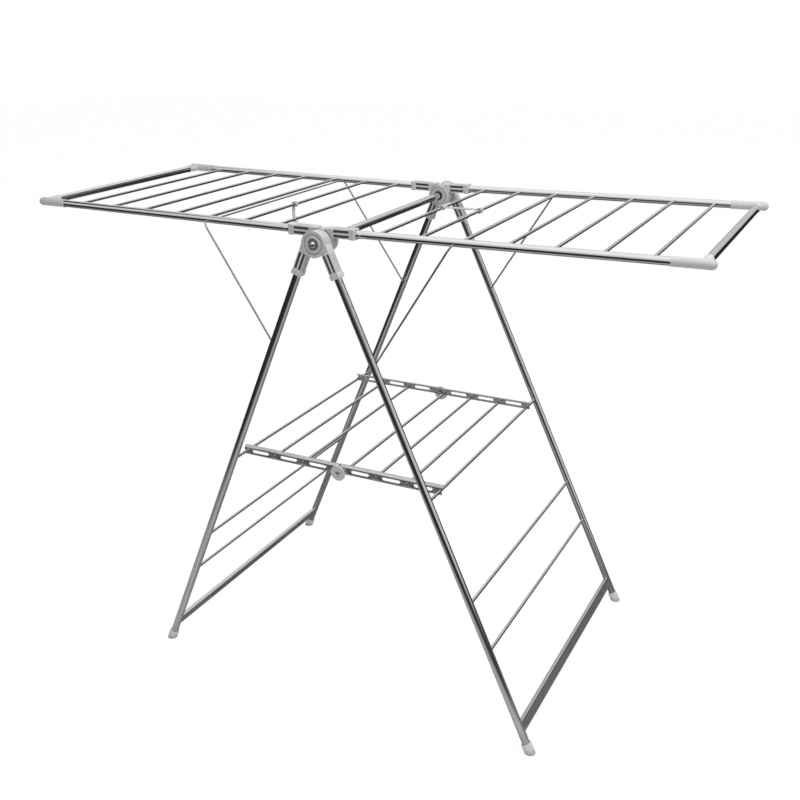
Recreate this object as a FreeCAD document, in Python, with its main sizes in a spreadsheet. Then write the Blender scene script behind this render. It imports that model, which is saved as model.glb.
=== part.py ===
"""Folding clothes airer: two hinged leg frames, two gull wings, a folding middle shelf.

The part stands on the plane Z = 0. The hub axis runs along Y at the height hub_height,
the wings reach out along +X and -X, and the origin lies on the floor under the hub axis.

Every left-hand piece is its right-hand twin turned half a turn about Z, so a piece is
drawn once, in the frame of its leg or wing, and placed for each side.
"""
import FreeCAD, Part
import math
import os

from FreeCAD import Placement, Rotation, Vector

DRIVING_SIZES = {
    # stance
    "hub_height": 1000.0,          # floor to hub axis
    "leg_angle": 23.5,             # each leg's lean from the vertical, degrees
    "leg_plane": 294.0,            # centre plane of a leg tube, either side of Y = 0
    "leg_offset": 16.5,            # hub axis to leg tube axis
    "wing_plane": 266.0,           # centre plane of a wing side tube
    "wing_offset": 18.0,           # hub axis to wing side tube axis
    "wing_tilt": 0.6,              # each wing's rise, degrees
    "wing_reach": 747.0,           # hub axis to wing end tube axis
    "wing_first_rod": 118.0,       # hub axis to first drying rod
    "wing_rod_count": 7,
    # stock
    "tube_diameter": 16.0,
    "tube_wall": 0.8,
    "rod_diameter": 6.5,
    "rod_wall": 0.7,
    "wire_diameter": 4.0,
    "rod_seat": 4.0,               # how far a rod enters the tube it is fixed in
    "drill_play": 0.08,            # radial play of a rod in its drilled hole
    # leg frame
    "upper_rod_height": 295.0,
    "lower_rod_height": 201.0,
    "stretcher_height": 47.5,
    "stretcher_deep": 22.0,
    "stretcher_thick": 10.0,
    "stretcher_wall": 1.0,
    "foot_diameter": 21.0,
    "foot_cover": 14.0,            # length of leg tube inside a foot
    "foot_sole": 4.0,              # plastic under the tube's lowest edge
    "foot_bevel": 1.5,
    "socket_play": 0.05,           # radial play of a tube in a plastic socket
    # hub
    "hub_radius": 26.0,            # leg and wing hub discs
    "arm_width": 20.0,
    "arm_depth": 20.0,
    "arm_start": 9.0,              # hub axis to the inner end of an arm
    "leg_arm_reach": 80.0,         # hub axis to the end of a leg arm
    "wing_arm_reach": 77.0,
    "socket_start": 30.0,          # hub axis to the inner end of a socket
    "collar_length": 11.0,
    "collar_rim": 1.0,             # how far a collar stands out sideways
    "half_lap_play": 0.1,          # each half disc stays this far from the layer's middle
    "disc_play": 0.6,              # radial play between an arm and its neighbour's disc
    "slot_width": 3.6,
    "slot_depth": 1.8,
    "slot_spacing": 9.4,           # between the middles of an arm's two slots
    "slot_start": 29.0,
    "slot_end_gap": 2.0,           # slot's end to the collar
    "bolt_diameter": 8.0,
    "bolt_play": 0.06,
    "layer_play": 0.3,             # between stacked hub pieces
    "cap_radius": 27.5,
    "cap_rim_thickness": 2.0,
    "cap_ring_radius": 17.5,
    "cap_ring_rise": 1.2,
    "cap_well_radius": 12.0,
    "nut_radius": 7.5,
    "nut_body": 2.4,
    "nut_dome_height": 4.5,
    "inner_cover_radius": 25.0,
    "inner_cover_face": 250.3,     # face of the inner cover, from Y = 0
    "inner_cover_well_radius": 11.0,
    "inner_cover_well_depth": 3.0,
    "axle_inset": 2.6,             # how far the axle tube stands in the cover's well
    "spacer_radius": 24.0,
    # wing corners
    "corner_radius": 9.5,
    "corner_sleeve": 56.0,         # end tube axis back to the inner end of a corner sleeve
    "corner_branch_radius": 9.2,
    "corner_branch": 34.0,         # side tube axis to the end of the branch
    "corner_wall": 3.0,            # plastic between the two sockets
    "corner_tip": 11.0,            # end tube axis to the middle of the rounded tip
    "rivet_radius": 3.2,
    "rivet_height": 1.6,
    "rivet_gap": 11.0,             # collar end to rivet
    # wire stays
    "stay_reach": 286.0,           # hub axis to the stay's pivot, along the wing
    "stay_drop": 4.0,              # pivot below the side tube axis
    "stay_elbow": 277.5,           # where the bight starts to bend, outside the side tube
    "stay_plane": 281.0,           # plane of a stay's arms
    "stay_anchor_height": 765.0,
    "stay_jog": 13.0,              # length of the slanting bit beside the tube
    "stay_bend_radius": 5.0,
    "open_pivot_gap": 0.5,         # a free end stops this far short of its tube
    # shelf
    "shelf_height": 497.0,         # height of the shelf's rods
    "shelf_middle_rod": 14.7,      # middle hinge to the nearest rod
    "rail_plane": 247.0,           # outer face of the left half's rails
    "rail_height": 19.0,
    "rail_below_rods": 7.0,        # rods' axis to the rail's lower edge
    "rail_thickness": 1.5,
    "rail_flange": 8.0,
    "rail_overhang": 5.0,          # rail beyond its pivot rod
    "rail_lap_gap": 0.3,           # between the two rails lapped at the middle hinge
    "rail_lap_radius": 8.0,
    "rail_butt_gap": 0.2,          # from the middle plane to each flange's end
    "rail_slot_land": 32.0,        # metal left between two slots
    "rail_slot_height": 6.0,
    "rail_slot_lift": 1.5,         # slot's middle above the rods' axis
    "rod_head_radius": 4.6,
    "rod_head_thickness": 0.8,
    "hinge_drop": 5.5,             # middle hinge's axis below the rods' axis
    "hinge_disc_radius": 17.0,
    "hinge_disc_thickness": 4.0,
    "hinge_disc_bevel": 1.2,
    "hinge_pin_radius": 2.5,
    "hinge_pin_head_radius": 4.5,
    "hinge_pin_head_thickness": 1.2,
    # storage lock
    "lock_ring_radius": 6.5,
    "lock_width": 9.0,
    "lock_thickness": 3.6,
    "lock_play": 0.15,
    "lock_mouth_play": 0.35,
    "lock_mouth_depth": 4.5,
    "catch_length": 36.0,
    "catch_y": 56.0,
    "strap_y": 30.0,
}

document = FreeCAD.newDocument("airer")
sheet = document.addObject("Spreadsheet::Sheet", "sizes")
for row, (alias, value) in enumerate(DRIVING_SIZES.items(), start=1):
    sheet.set("A%d" % row, alias)
    sheet.set("B%d" % row, repr(float(value)))
    sheet.setAlias("B%d" % row, alias)
document.recompute()

X_AXIS = Vector(1, 0, 0)
Y_AXIS = Vector(0, 1, 0)
Z_AXIS = Vector(0, 0, 1)
RIGHT, LEFT = "right", "left"
ALONG_X = Rotation(Y_AXIS, 90)     # turns a cylinder's own Z axis to +X
ALONG_Y = Rotation(X_AXIS, -90)    # turns it to +Y
SIDES = (RIGHT, LEFT)
subparts = []


def size(alias):
    """The value of one driving size."""
    return float(sheet.get(alias))


# ---------------------------------------------------------------- drawing helpers

def finish(feature, label, placement=None):
    """Names a finished sub-part, places it and puts it on the list to be written."""
    feature.Label = label
    if placement is not None:
        feature.Placement = placement
    subparts.append(feature)
    return feature


def bind(feature, **expressions):
    """Binds properties of a feature to expressions of the driving sizes."""
    for prop, expression in expressions.items():
        feature.setExpression(prop, expression)
    return feature


def cylinder(radius, height, at=Vector(), turn=Rotation()):
    """A cylinder whose radius and height are expressions, starting at a point."""
    shape = document.addObject("Part::Cylinder", "cylinder")
    bind(shape, Radius=radius, Height=height)
    shape.Placement = Placement(at, turn)
    return shape


def box(length, width, height, at):
    """A box whose three sizes are expressions, from its lowest corner."""
    shape = document.addObject("Part::Box", "box")
    bind(shape, Length=length, Width=width, Height=height)
    shape.Placement = Placement(at, Rotation())
    return shape


def fused(shapes):
    """One solid out of several that touch."""
    if len(shapes) == 1:
        return shapes[0]
    whole = document.addObject("Part::MultiFuse", "fused")
    whole.Shapes = shapes
    whole.Refine = True
    return whole


def cut(base, tools):
    """The base with all the tools taken away."""
    result = document.addObject("Part::Cut", "cut")
    result.Base = base
    result.Tool = fused(tools)
    return result


def bevelled(round_bar, bevel):
    """A cylinder with a bevel round its far end, which is its third edge."""
    shape = document.addObject("Part::Chamfer", "bevelled")
    shape.Base = round_bar
    shape.Edges = [(3, bevel, bevel)]
    return shape


def together(shapes):
    """Separate equal pieces that share one node."""
    group = document.addObject("Part::Compound", "group")
    group.Links = shapes
    return group


# ---------------------------------------------------------------- frames of the folding units

def about_hub(side, turn):
    """The placement of a leg or wing frame: its origin on the hub axis, turned to its side."""
    half_turn = Rotation(Z_AXIS, 0 if side == RIGHT else 180)
    return Placement(Vector(0, 0, size("hub_height")), half_turn * turn)


def leg_frame(side):
    """In a leg's frame the tube runs along -Z at x = leg_offset."""
    return about_hub(side, Rotation(Y_AXIS, -size("leg_angle")))


def wing_frame(side):
    """In a wing's frame the side tubes run along +X at z = wing_offset."""
    return about_hub(side, Rotation(Y_AXIS, -size("wing_tilt")))


def down_leg(height):
    """The distance down a leg, from the hub axis, of the tube axis' point at a height."""
    lean = math.radians(size("leg_angle"))
    return (size("hub_height") + size("leg_offset") * math.sin(lean) - height) / math.cos(lean)


def end_name(side, local_end):
    """Front is the -Y end. The left-hand frames are turned round, so their ends swap."""
    faces_front = (local_end < 0) == (side == RIGHT)
    return "front" if faces_front else "rear"


def on_leg(distance):
    """The point of the tube axis at a distance down the leg, in the leg's frame."""
    return Vector(size("leg_offset"), 0, -distance)


def leg_point(height):
    """The point of the right leg's tube axis at a height, in the XZ plane of the part."""
    return leg_frame(RIGHT).multVec(on_leg(down_leg(height)))


def wing_rod_places():
    """The distances from the hub axis of a wing's drying rods."""
    count = int(size("wing_rod_count"))
    pitch = (size("wing_reach") - size("wing_first_rod")) / count
    return [size("wing_first_rod") + pitch * number for number in range(count)]


# ---------------------------------------------------------------- tubes and rods

def drilled_tube(length, holes):
    """A round tube along +Z. Each hole is (distance, hole radius, depth side, offset).

    The depth side is +1 or -1 for a hole through one wall, towards +Y or -Y, and 0 for a
    hole through both walls. The offset moves the hole along X, off the tube's axis.
    """
    radius = size("tube_diameter") / 2
    body = cylinder("sizes.tube_diameter / 2", "%r" % length)
    tools = [cylinder("sizes.tube_diameter / 2 - sizes.tube_wall", "%r" % length)]
    for distance, hole_radius, wall_side, offset in holes:
        start = 0.0 if wall_side > 0 else -2 * radius
        reach = 4 * radius if wall_side == 0 else 2 * radius
        tools.append(cylinder(hole_radius, "%r" % reach, Vector(offset, start, distance), ALONG_Y))
    return cut(body, tools)


ROD_HOLE = "sizes.rod_diameter / 2 + sizes.drill_play"
WIRE_HOLE = "sizes.wire_diameter / 2 + sizes.drill_play"


def cross_rod(half_length, at):
    """A thin-walled rod along Y, centred on the plane y = 0."""
    start = at - Y_AXIS * half_length
    length = "%r" % (2 * half_length)
    outside = cylinder("sizes.rod_diameter / 2", length, start, ALONG_Y)
    inside = cylinder("sizes.rod_diameter / 2 - sizes.rod_wall", length, start, ALONG_Y)
    return cut(outside, [inside])


def rod_reach(tube_plane):
    """Half the length of a rod whose ends stand in two tubes on either side."""
    return tube_plane - size("tube_diameter") / 2 + size("rod_seat")


# ---------------------------------------------------------------- leg frames

def tube_foot_end():
    """The distance down the leg of the tube's lower end, which stays inside its foot."""
    lean = math.radians(size("leg_angle"))
    lowest_edge = size("tube_diameter") / 2 * math.sin(lean) + size("foot_sole")
    return down_leg(0) - lowest_edge / math.cos(lean)


def leg_tube(side, local_end):
    """A leg's tube, drilled on its inner side for the stay, the shelf and the two rods."""
    start = tube_foot_end()
    length = start - size("socket_start") - size("layer_play")
    holes = [
        (start - down_leg(size("stay_anchor_height")), WIRE_HOLE, -local_end, 0),
        (start - down_leg(size("shelf_height")), ROD_HOLE, -local_end, 0),
        (start - down_leg(size("upper_rod_height")), ROD_HOLE, -local_end, 0),
        (start - down_leg(size("lower_rod_height")), ROD_HOLE, -local_end, 0),
    ]
    at = on_leg(start) + Y_AXIS * local_end * size("leg_plane")
    label = "%s_leg_tube_%s" % (side, end_name(side, local_end))
    finish(drilled_tube(length, holes), label, leg_frame(side) * Placement(at, Rotation()))


def leg_rods(side):
    """The two thin rods that tie a leg frame below the shelf."""
    rods = []
    for height in ("upper_rod_height", "lower_rod_height"):
        rods.append(cross_rod(rod_reach(size("leg_plane")), on_leg(down_leg(size(height)))))
    finish(together(rods), "%s_leg_rods" % side, leg_frame(side))


def stretcher(side):
    """The flat tube between the feet, its ends hollowed to sit against the leg tubes."""
    plane = size("leg_plane")
    deep, thick, wall = size("stretcher_deep"), size("stretcher_thick"), size("stretcher_wall")
    middle = on_leg(down_leg(size("stretcher_height")))
    half = plane - size("tube_diameter") / 4
    length = "%r" % (2 * half)
    outside = box("sizes.stretcher_thick", length, "sizes.stretcher_deep",
                  middle - Vector(thick / 2, half, deep / 2))
    inside = box("sizes.stretcher_thick - 2 * sizes.stretcher_wall", length,
                 "sizes.stretcher_deep - 2 * sizes.stretcher_wall",
                 middle - Vector(thick / 2 - wall, half, deep / 2 - wall))
    tools = [inside]
    for local_end in (-1, 1):
        below = middle + Vector(0, local_end * plane, -deep)
        tools.append(cylinder("sizes.tube_diameter / 2 + sizes.socket_play",
                              "2 * sizes.stretcher_deep", below))
    finish(cut(outside, tools), "%s_stretcher" % side, leg_frame(side))


def foot(side, local_end):
    """A plastic foot: a sleeve over the tube's end, with a sole cut level with the floor."""
    tube_end = tube_foot_end()
    top = on_leg(tube_end - size("foot_cover"))
    overshoot = 2 * size("foot_diameter")
    sleeve = cylinder("sizes.foot_diameter / 2", "sizes.foot_cover + 2 * sizes.foot_diameter",
                      top - Z_AXIS * (size("foot_cover") + overshoot))
    socket = cylinder("sizes.tube_diameter / 2 + sizes.socket_play", "sizes.foot_cover",
                      on_leg(tube_end))
    bevel = bevelled(sleeve, size("foot_bevel"))
    side_length = "4 * sizes.foot_diameter"
    ground = box(side_length, side_length, side_length, Vector())
    at_floor = on_leg(down_leg(0))
    level = Rotation(Y_AXIS, size("leg_angle"))
    half_side = 2 * size("foot_diameter")
    corner = level.multVec(Vector(-half_side, -half_side, -2 * half_side))
    ground.Placement = Placement(at_floor + corner, level)
    shape = cut(bevel, [socket, ground])
    at = Placement(Y_AXIS * local_end * size("leg_plane"), Rotation())
    finish(shape, "%s_foot_%s" % (side, end_name(side, local_end)), leg_frame(side) * at)


# ---------------------------------------------------------------- hub mouldings

def hub_moulding(label, plane, offset, reach, local_end, placement):
    """A plastic hub arm. In its own frame the arm runs along +X and the hub axis is Y.

    Two such arms share one layer of the hub, so each has a disc only half as thick as
    the layer, and its arm is cut back to clear its neighbour's disc.
    """
    depth, width, rim = size("arm_depth"), size("arm_width"), size("collar_rim")
    centre = local_end * plane
    low = centre - depth / 2
    bolt = "sizes.bolt_diameter / 2 + sizes.bolt_play"
    half_depth = "sizes.arm_depth / 2 - sizes.half_lap_play"
    disc = cylinder("sizes.hub_radius", half_depth, Vector(0, low, 0), ALONG_Y)
    relief = cylinder("sizes.hub_radius + sizes.disc_play", "sizes.arm_depth / 2 + sizes.collar_rim",
                      Vector(0, centre - size("half_lap_play"), 0), ALONG_Y)
    start = size("arm_start")
    arm = box("%r" % (reach - start), "sizes.arm_depth", "sizes.arm_width",
              Vector(start, low, offset - width / 2))
    collar = box("sizes.collar_length", "sizes.arm_depth + sizes.collar_rim",
                 "sizes.arm_width + 2 * sizes.collar_rim",
                 Vector(reach - size("collar_length"), low - rim / 2, offset - width / 2 - rim))
    tools = [relief, cylinder(bolt, "sizes.arm_depth", Vector(0, low, 0), ALONG_Y)]
    socket_length = "%r" % (reach - size("socket_start"))
    tools.append(cylinder("sizes.tube_diameter / 2 + sizes.socket_play", socket_length,
                          Vector(size("socket_start"), centre, offset), ALONG_X))
    slot_end = reach - size("collar_length") - size("slot_end_gap")
    slot_length = "%r" % (slot_end - size("slot_start"))
    for face in (low, low + depth - size("slot_depth")):
        for row in (-0.5, 0.5):
            middle = offset + row * size("slot_spacing")
            tools.append(box(slot_length, "sizes.slot_depth", "sizes.slot_width",
                             Vector(size("slot_start"), face, middle - size("slot_width") / 2)))
    finish(cut(fused([disc, arm, collar]), tools), label, placement)


def leg_hub(side, local_end):
    """The moulding that joins a leg tube to the hub."""
    arm_down = Rotation(Y_AXIS, 90)
    label = "%s_leg_hub_%s" % (side, end_name(side, local_end))
    hub_moulding(label, size("leg_plane"), size("leg_offset"), size("leg_arm_reach"),
                 local_end, leg_frame(side) * Placement(Vector(), arm_down))


def wing_hub(side, local_end):
    """The moulding that joins a wing's side tube to the hub."""
    label = "%s_wing_hub_%s" % (side, end_name(side, local_end))
    hub_moulding(label, size("wing_plane"), size("wing_offset"), size("wing_arm_reach"),
                 local_end, wing_frame(side))


def hub_stack():
    """The pieces on the hub axis: bolt, caps, nuts, spacers, inner covers and axle tube."""
    place = Placement(Vector(0, 0, size("hub_height")), Rotation())
    leg_face = size("leg_plane") + size("arm_depth") / 2 + size("layer_play")
    nut_seat = leg_face + size("cap_rim_thickness") / 2
    bolt_radius = "sizes.bolt_diameter / 2"
    bolt_hole = "sizes.bolt_diameter / 2 + sizes.bolt_play"
    bolt_end = nut_seat + size("nut_body")
    bolt = cylinder(bolt_radius, "%r" % (2 * bolt_end), Y_AXIS * -bolt_end, ALONG_Y)
    finish(bolt, "hub_bolt", Placement(place.Base - Y_AXIS * bolt_end, ALONG_Y))

    nuts, spacers = [], []
    for name, outward in (("front", -1), ("rear", 1)):
        turn = Rotation(X_AXIS, 90) if outward < 0 else ALONG_Y

        def layer(radius, thickness, distance):
            return cylinder(radius, thickness, Y_AXIS * outward * distance, turn)

        rim = layer("sizes.cap_radius", "sizes.cap_rim_thickness", leg_face)
        ring = layer("sizes.cap_ring_radius", "sizes.cap_rim_thickness + sizes.cap_ring_rise",
                     leg_face)
        well = layer("sizes.cap_well_radius", "3 * sizes.cap_rim_thickness", nut_seat)
        hole = layer(bolt_hole, "3 * sizes.cap_rim_thickness", leg_face)
        finish(cut(fused([rim, ring]), [well, hole]), "hub_cap_" + name, place)

        nuts.append(cap_nut(outward, nut_seat, turn))
        wing_face = size("wing_plane") + size("arm_depth") / 2 + size("layer_play")
        gap = size("leg_plane") - size("wing_plane") - size("arm_depth") - 2 * size("layer_play")
        disc = layer("sizes.spacer_radius", "%r" % gap, wing_face)
        spacers.append(cut(disc, [layer(bolt_hole, "%r" % gap, wing_face)]))

        face = size("inner_cover_face")
        wing_back = size("wing_plane") - size("arm_depth") / 2 - size("layer_play")
        cover = layer("sizes.inner_cover_radius", "%r" % (wing_back - face), face)
        cover_well = layer("sizes.inner_cover_well_radius", "sizes.inner_cover_well_depth", face)
        cover_hole = layer(bolt_hole, "%r" % (wing_back - face), face)
        finish(cut(cover, [cover_well, cover_hole]), "hub_inner_cover_" + name, place)
    finish(together(nuts), "hub_cap_nuts", place)
    finish(together(spacers), "hub_spacers", place)

    half_axle = size("inner_cover_face") + size("axle_inset")
    length = "%r" % (2 * half_axle)
    outside = cylinder("sizes.tube_diameter / 2", length)
    inside = cylinder("sizes.tube_diameter / 2 - sizes.tube_wall", length)
    axle = Placement(place.Base - Y_AXIS * half_axle, ALONG_Y)
    finish(cut(outside, [inside]), "axle_tube", axle)


def cap_nut(outward, seat, turn):
    """A domed nut whose blind hole takes the end of the bolt."""
    body = cylinder("sizes.nut_radius", "sizes.nut_body", Y_AXIS * outward * seat, turn)
    dome = document.addObject("Part::Ellipsoid", "dome")
    bind(dome, Radius1="sizes.nut_dome_height", Radius2="sizes.nut_radius", Angle1="0")
    dome.Placement = Placement(Y_AXIS * outward * (seat + size("nut_body")), turn)
    hole = cylinder("sizes.bolt_diameter / 2 + sizes.bolt_play", "sizes.nut_body + sizes.bolt_play",
                    Y_AXIS * outward * seat, turn)
    return cut(fused([body, dome]), [hole])


# ---------------------------------------------------------------- wings

def side_tube_end():
    """Where a side tube stops inside its corner fitting, from the hub axis."""
    return size("wing_reach") - size("tube_diameter") / 2 - size("corner_wall")


def wing_side_tube(side, local_end):
    """A side tube, drilled on its inner side for the rods and through for the stay."""
    start = size("socket_start") + size("layer_play")
    holes = [(place - start, ROD_HOLE, -local_end, 0) for place in wing_rod_places()]
    holes.append((size("stay_reach") - start, WIRE_HOLE, 0, size("stay_drop")))
    at = Vector(start, local_end * size("wing_plane"), size("wing_offset"))
    label = "%s_wing_tube_%s" % (side, end_name(side, local_end))
    shape = drilled_tube(side_tube_end() - start, holes)
    finish(shape, label, wing_frame(side) * Placement(at, ALONG_X))


def wing_end_tube(side):
    """The tube along Y that closes a wing, its ends in the corner fittings."""
    half = size("wing_plane") - size("tube_diameter") / 2 - size("corner_wall")
    length = "%r" % (2 * half)
    outside = cylinder("sizes.tube_diameter / 2", length)
    inside = cylinder("sizes.tube_diameter / 2 - sizes.tube_wall", length)
    at = Vector(size("wing_reach"), -half, size("wing_offset"))
    finish(cut(outside, [inside]), "%s_wing_end_tube" % side,
           wing_frame(side) * Placement(at, ALONG_Y))


def wing_rods(side):
    """The thin drying rods across a wing."""
    rods = [cross_rod(rod_reach(size("wing_plane")), Vector(place, 0, size("wing_offset")))
            for place in wing_rod_places()]
    finish(together(rods), "%s_wing_rods" % side, wing_frame(side))


def wing_corner(side, local_end):
    """A plastic elbow: a sleeve on the side tube with a rounded tip, a branch on the end tube."""
    axis = Vector(0, local_end * size("wing_plane"), size("wing_offset"))
    start = size("wing_reach") - size("corner_sleeve")
    tip = size("wing_reach") + size("corner_tip")
    sleeve = cylinder("sizes.corner_radius", "%r" % (tip - start), axis + X_AXIS * start, ALONG_X)
    ball = document.addObject("Part::Sphere", "tip")
    bind(ball, Radius="sizes.corner_radius")
    ball.Placement = Placement(axis + X_AXIS * tip, ALONG_X)
    inward = Rotation(X_AXIS, 90 * local_end)
    corner = axis + X_AXIS * size("wing_reach")
    branch = cylinder("sizes.corner_branch_radius", "sizes.corner_branch", corner, inward)
    bore = "sizes.tube_diameter / 2 + sizes.socket_play"
    side_socket = cylinder(bore, "%r" % (side_tube_end() + size("layer_play") - start),
                           axis + X_AXIS * start, ALONG_X)
    tube_gap = size("tube_diameter") / 2 + size("corner_wall") - size("layer_play")
    end_socket = cylinder(bore, "sizes.corner_branch", corner - Y_AXIS * local_end * tube_gap, inward)
    label = "%s_wing_corner_%s" % (side, end_name(side, local_end))
    finish(cut(fused([sleeve, ball, branch]), [side_socket, end_socket]), label, wing_frame(side))


def wing_rivets(side):
    """The button rivets on the outer sides of the side tubes, next to the hub collars."""
    rivets = []
    for local_end in (-1, 1):
        face = size("wing_plane") + size("tube_diameter") / 2 - size("rivet_height")
        at = Vector(size("wing_arm_reach") + size("rivet_gap"), local_end * face,
                    size("wing_offset"))
        outward = Rotation(X_AXIS, -90 * local_end)
        head = cylinder("sizes.rivet_radius", "2 * sizes.rivet_height", at, outward)
        tube = cylinder("sizes.tube_diameter / 2", "8 * sizes.rivet_radius",
                        Vector(at.x - 4 * size("rivet_radius"), local_end * size("wing_plane"),
                               size("wing_offset")), ALONG_X)
        rivets.append(cut(head, [tube]))
    finish(together(rivets), "%s_wing_rivets" % side, wing_frame(side))


# ---------------------------------------------------------------- wire stays

def rounded_path(points, bend_radius):
    """A wire path through points, its inner corners rounded with arcs."""
    edges = []
    start = points[0]
    for before, corner, after in zip(points, points[1:], points[2:]):
        back = (before - corner).normalize()
        ahead = (after - corner).normalize()
        half_turn = back.getAngle(ahead) / 2
        setback = bend_radius / math.tan(half_turn)
        bisector = (back + ahead).normalize()
        enter = corner + back * setback
        leave = corner + ahead * setback
        middle = corner + bisector * (bend_radius / math.sin(half_turn) - bend_radius)
        edges.append(Part.LineSegment(start, enter).toShape())
        edges.append(Part.Arc(enter, middle, leave).toShape())
        start = leave
    edges.append(Part.LineSegment(start, points[-1]).toShape())
    return Part.Wire(edges)


def stay(side):
    """A U-shaped wire prop. Its bight pivots in the side tubes, its tips meet the legs.

    In its own frame the bight runs along X and the arms along Y.
    """
    pivot = wing_frame(RIGHT).multVec(Vector(size("stay_reach"), 0,
                                             size("wing_offset") - size("stay_drop")))
    anchor = leg_point(size("stay_anchor_height"))
    arm_length = (anchor - pivot).Length
    arm, jog = size("stay_plane"), size("stay_jog")
    tip = size("leg_plane") - size("tube_diameter") / 2 - size("open_pivot_gap")
    half = [Vector(size("stay_elbow"), 0, 0), Vector(arm, jog, 0), Vector(arm, arm_length, 0),
            Vector(tip, arm_length, 0)]
    mirrored = [Vector(-point.x, point.y, 0) for point in reversed(half)]
    route = mirrored + half
    shape = swept_stay(route)
    wire = document.addObject("Part::Feature", "stay")
    wire.Shape = shape
    arm_direction = (anchor - pivot).normalize()
    turn = Rotation(Y_AXIS, arm_direction, Y_AXIS.cross(arm_direction), "XYZ")
    half_turn = Placement(Vector(), Rotation(Z_AXIS, 0 if side == RIGHT else 180))
    finish(wire, "%s_stay" % side, half_turn * Placement(pivot, turn))


def swept_stay(route):
    """The stay's round wire along its route, with tight bends at the tips."""
    tip_bend = size("wire_diameter") / 2 + size("open_pivot_gap")
    radius = size("stay_bend_radius")
    inner = route[1:-1]
    path = rounded_path([(route[1] + route[2]) / 2] + inner[1:-1] + [(route[-2] + route[-3]) / 2],
                        radius)
    first = rounded_path([route[0], route[1], (route[1] + route[2]) / 2], tip_bend)
    last = rounded_path([(route[-2] + route[-3]) / 2, route[-2], route[-1]], tip_bend)
    spine = Part.Wire(first.Edges + path.Edges + last.Edges)
    direction = (route[1] - route[0]).normalize()
    circle = Part.Circle(route[0], direction, size("wire_diameter") / 2).toShape()
    return spine.makePipeShell([Part.Wire([circle])], True, True)


# ---------------------------------------------------------------- middle shelf

def shelf_pitch():
    """The even spacing of the shelf's rods, from the pivot rod in to the one by the hinge."""
    return (leg_point(size("shelf_height")).x - size("shelf_middle_rod")) / 3


def shelf_rail(label, low_x, high_x, face, local_end, slots, holes, flange_end):
    """A stamped rail: an upright web with slots and rod holes, and a flange along its top.

    face is the web's outer plane, slots and holes are distances along X.
    """
    height, thickness = size("rail_height"), size("rail_thickness")
    bottom = size("shelf_height") - size("rail_below_rods")
    hinge_z = size("shelf_height") - size("hinge_drop")
    web_low = face - thickness if local_end > 0 else -face
    flange_low = face - size("rail_flange") if local_end > 0 else -face
    web = box("%r" % (high_x - low_x), "sizes.rail_thickness", "sizes.rail_height",
              Vector(low_x, web_low, bottom))
    flange = box("%r" % (flange_end[1] - flange_end[0]), "sizes.rail_flange",
                 "sizes.rail_thickness",
                 Vector(flange_end[0], flange_low, bottom + height - thickness))
    lap = cylinder("sizes.rail_lap_radius", "sizes.rail_thickness",
                   Vector(0, web_low, hinge_z), ALONG_Y)
    tools = [cylinder("sizes.hinge_pin_radius + sizes.bolt_play", "sizes.rail_thickness",
                      Vector(0, web_low, hinge_z), ALONG_Y)]
    slot_z = size("shelf_height") + size("rail_slot_lift")
    for middle in slots:
        tools.append(oblong(middle, web_low, slot_z))
    for place in holes:
        tools.append(cylinder(ROD_HOLE, "sizes.rail_thickness",
                              Vector(place, web_low, size("shelf_height")), ALONG_Y))
    finish(cut(fused([web, flange, lap]), tools), label)


def oblong(middle, web_low, slot_z):
    """A slot with round ends, through the web of a rail."""
    straight = shelf_pitch() - size("rail_slot_land") - size("rail_slot_height")
    bar = box("%r" % straight, "sizes.rail_thickness", "sizes.rail_slot_height",
              Vector(middle - straight / 2, web_low, slot_z - size("rail_slot_height") / 2))
    ends = [cylinder("sizes.rail_slot_height / 2", "sizes.rail_thickness",
                     Vector(middle + shift, web_low, slot_z), ALONG_Y)
            for shift in (-straight / 2, straight / 2)]
    return fused([bar] + ends)


def shelf_rod(x, half_length):
    """A shelf rod whose ends pass through the rails' webs and are spread into heads."""
    at = Vector(x, 0, size("shelf_height"))
    start = at - Y_AXIS * half_length
    length = "%r" % (2 * half_length)
    shapes = [cylinder("sizes.rod_diameter / 2", length, start, ALONG_Y)]
    for low in (-half_length, half_length - size("rod_head_thickness")):
        shapes.append(cylinder("sizes.rod_head_radius", "sizes.rod_head_thickness",
                               at + Y_AXIS * low, ALONG_Y))
    inside = cylinder("sizes.rod_diameter / 2 - sizes.rod_wall", length, start, ALONG_Y)
    return cut(fused(shapes), [inside])


def shelf_half(side):
    """One half of the shelf: two rails, its rods, and the solid rod it pivots on."""
    sign = 1 if side == RIGHT else -1
    pivot_x = leg_point(size("shelf_height")).x
    inset = 0 if side == LEFT else size("rail_thickness") + size("rail_lap_gap")
    face = size("rail_plane") - inset
    rod_count = 3 if side == RIGHT else 2
    pitch = shelf_pitch()
    rods = [sign * (pivot_x - pitch * number) for number in range(1, rod_count + 1)]
    slots = [sign * (pivot_x - pitch * (number + 0.5)) for number in range(3)]
    outer = sign * (pivot_x + size("rail_overhang"))
    butt = sign * size("rail_butt_gap")
    web_span = sorted((outer, 0.0))
    flange_span = sorted((outer, butt))
    for local_end in (-1, 1):
        name = "front" if local_end < 0 else "rear"
        shelf_rail("%s_shelf_rail_%s" % (side, name), web_span[0], web_span[1], face, local_end,
                   slots, rods + [sign * pivot_x], flange_span)
    rod_half = face + size("rod_head_thickness") + size("drill_play")
    finish(together([shelf_rod(x, rod_half) for x in rods]), "%s_shelf_rods" % side)

    tube_face = size("leg_plane") - size("tube_diameter") / 2
    entry = size("rod_seat") if side == LEFT else -size("open_pivot_gap")
    pivot_half = tube_face + entry
    pivot = cylinder("sizes.rod_diameter / 2", "%r" % (2 * pivot_half))
    at = Vector(sign * pivot_x, -pivot_half, size("shelf_height"))
    finish(pivot, "%s_shelf_pivot_rod" % side, Placement(at, ALONG_Y))


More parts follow.
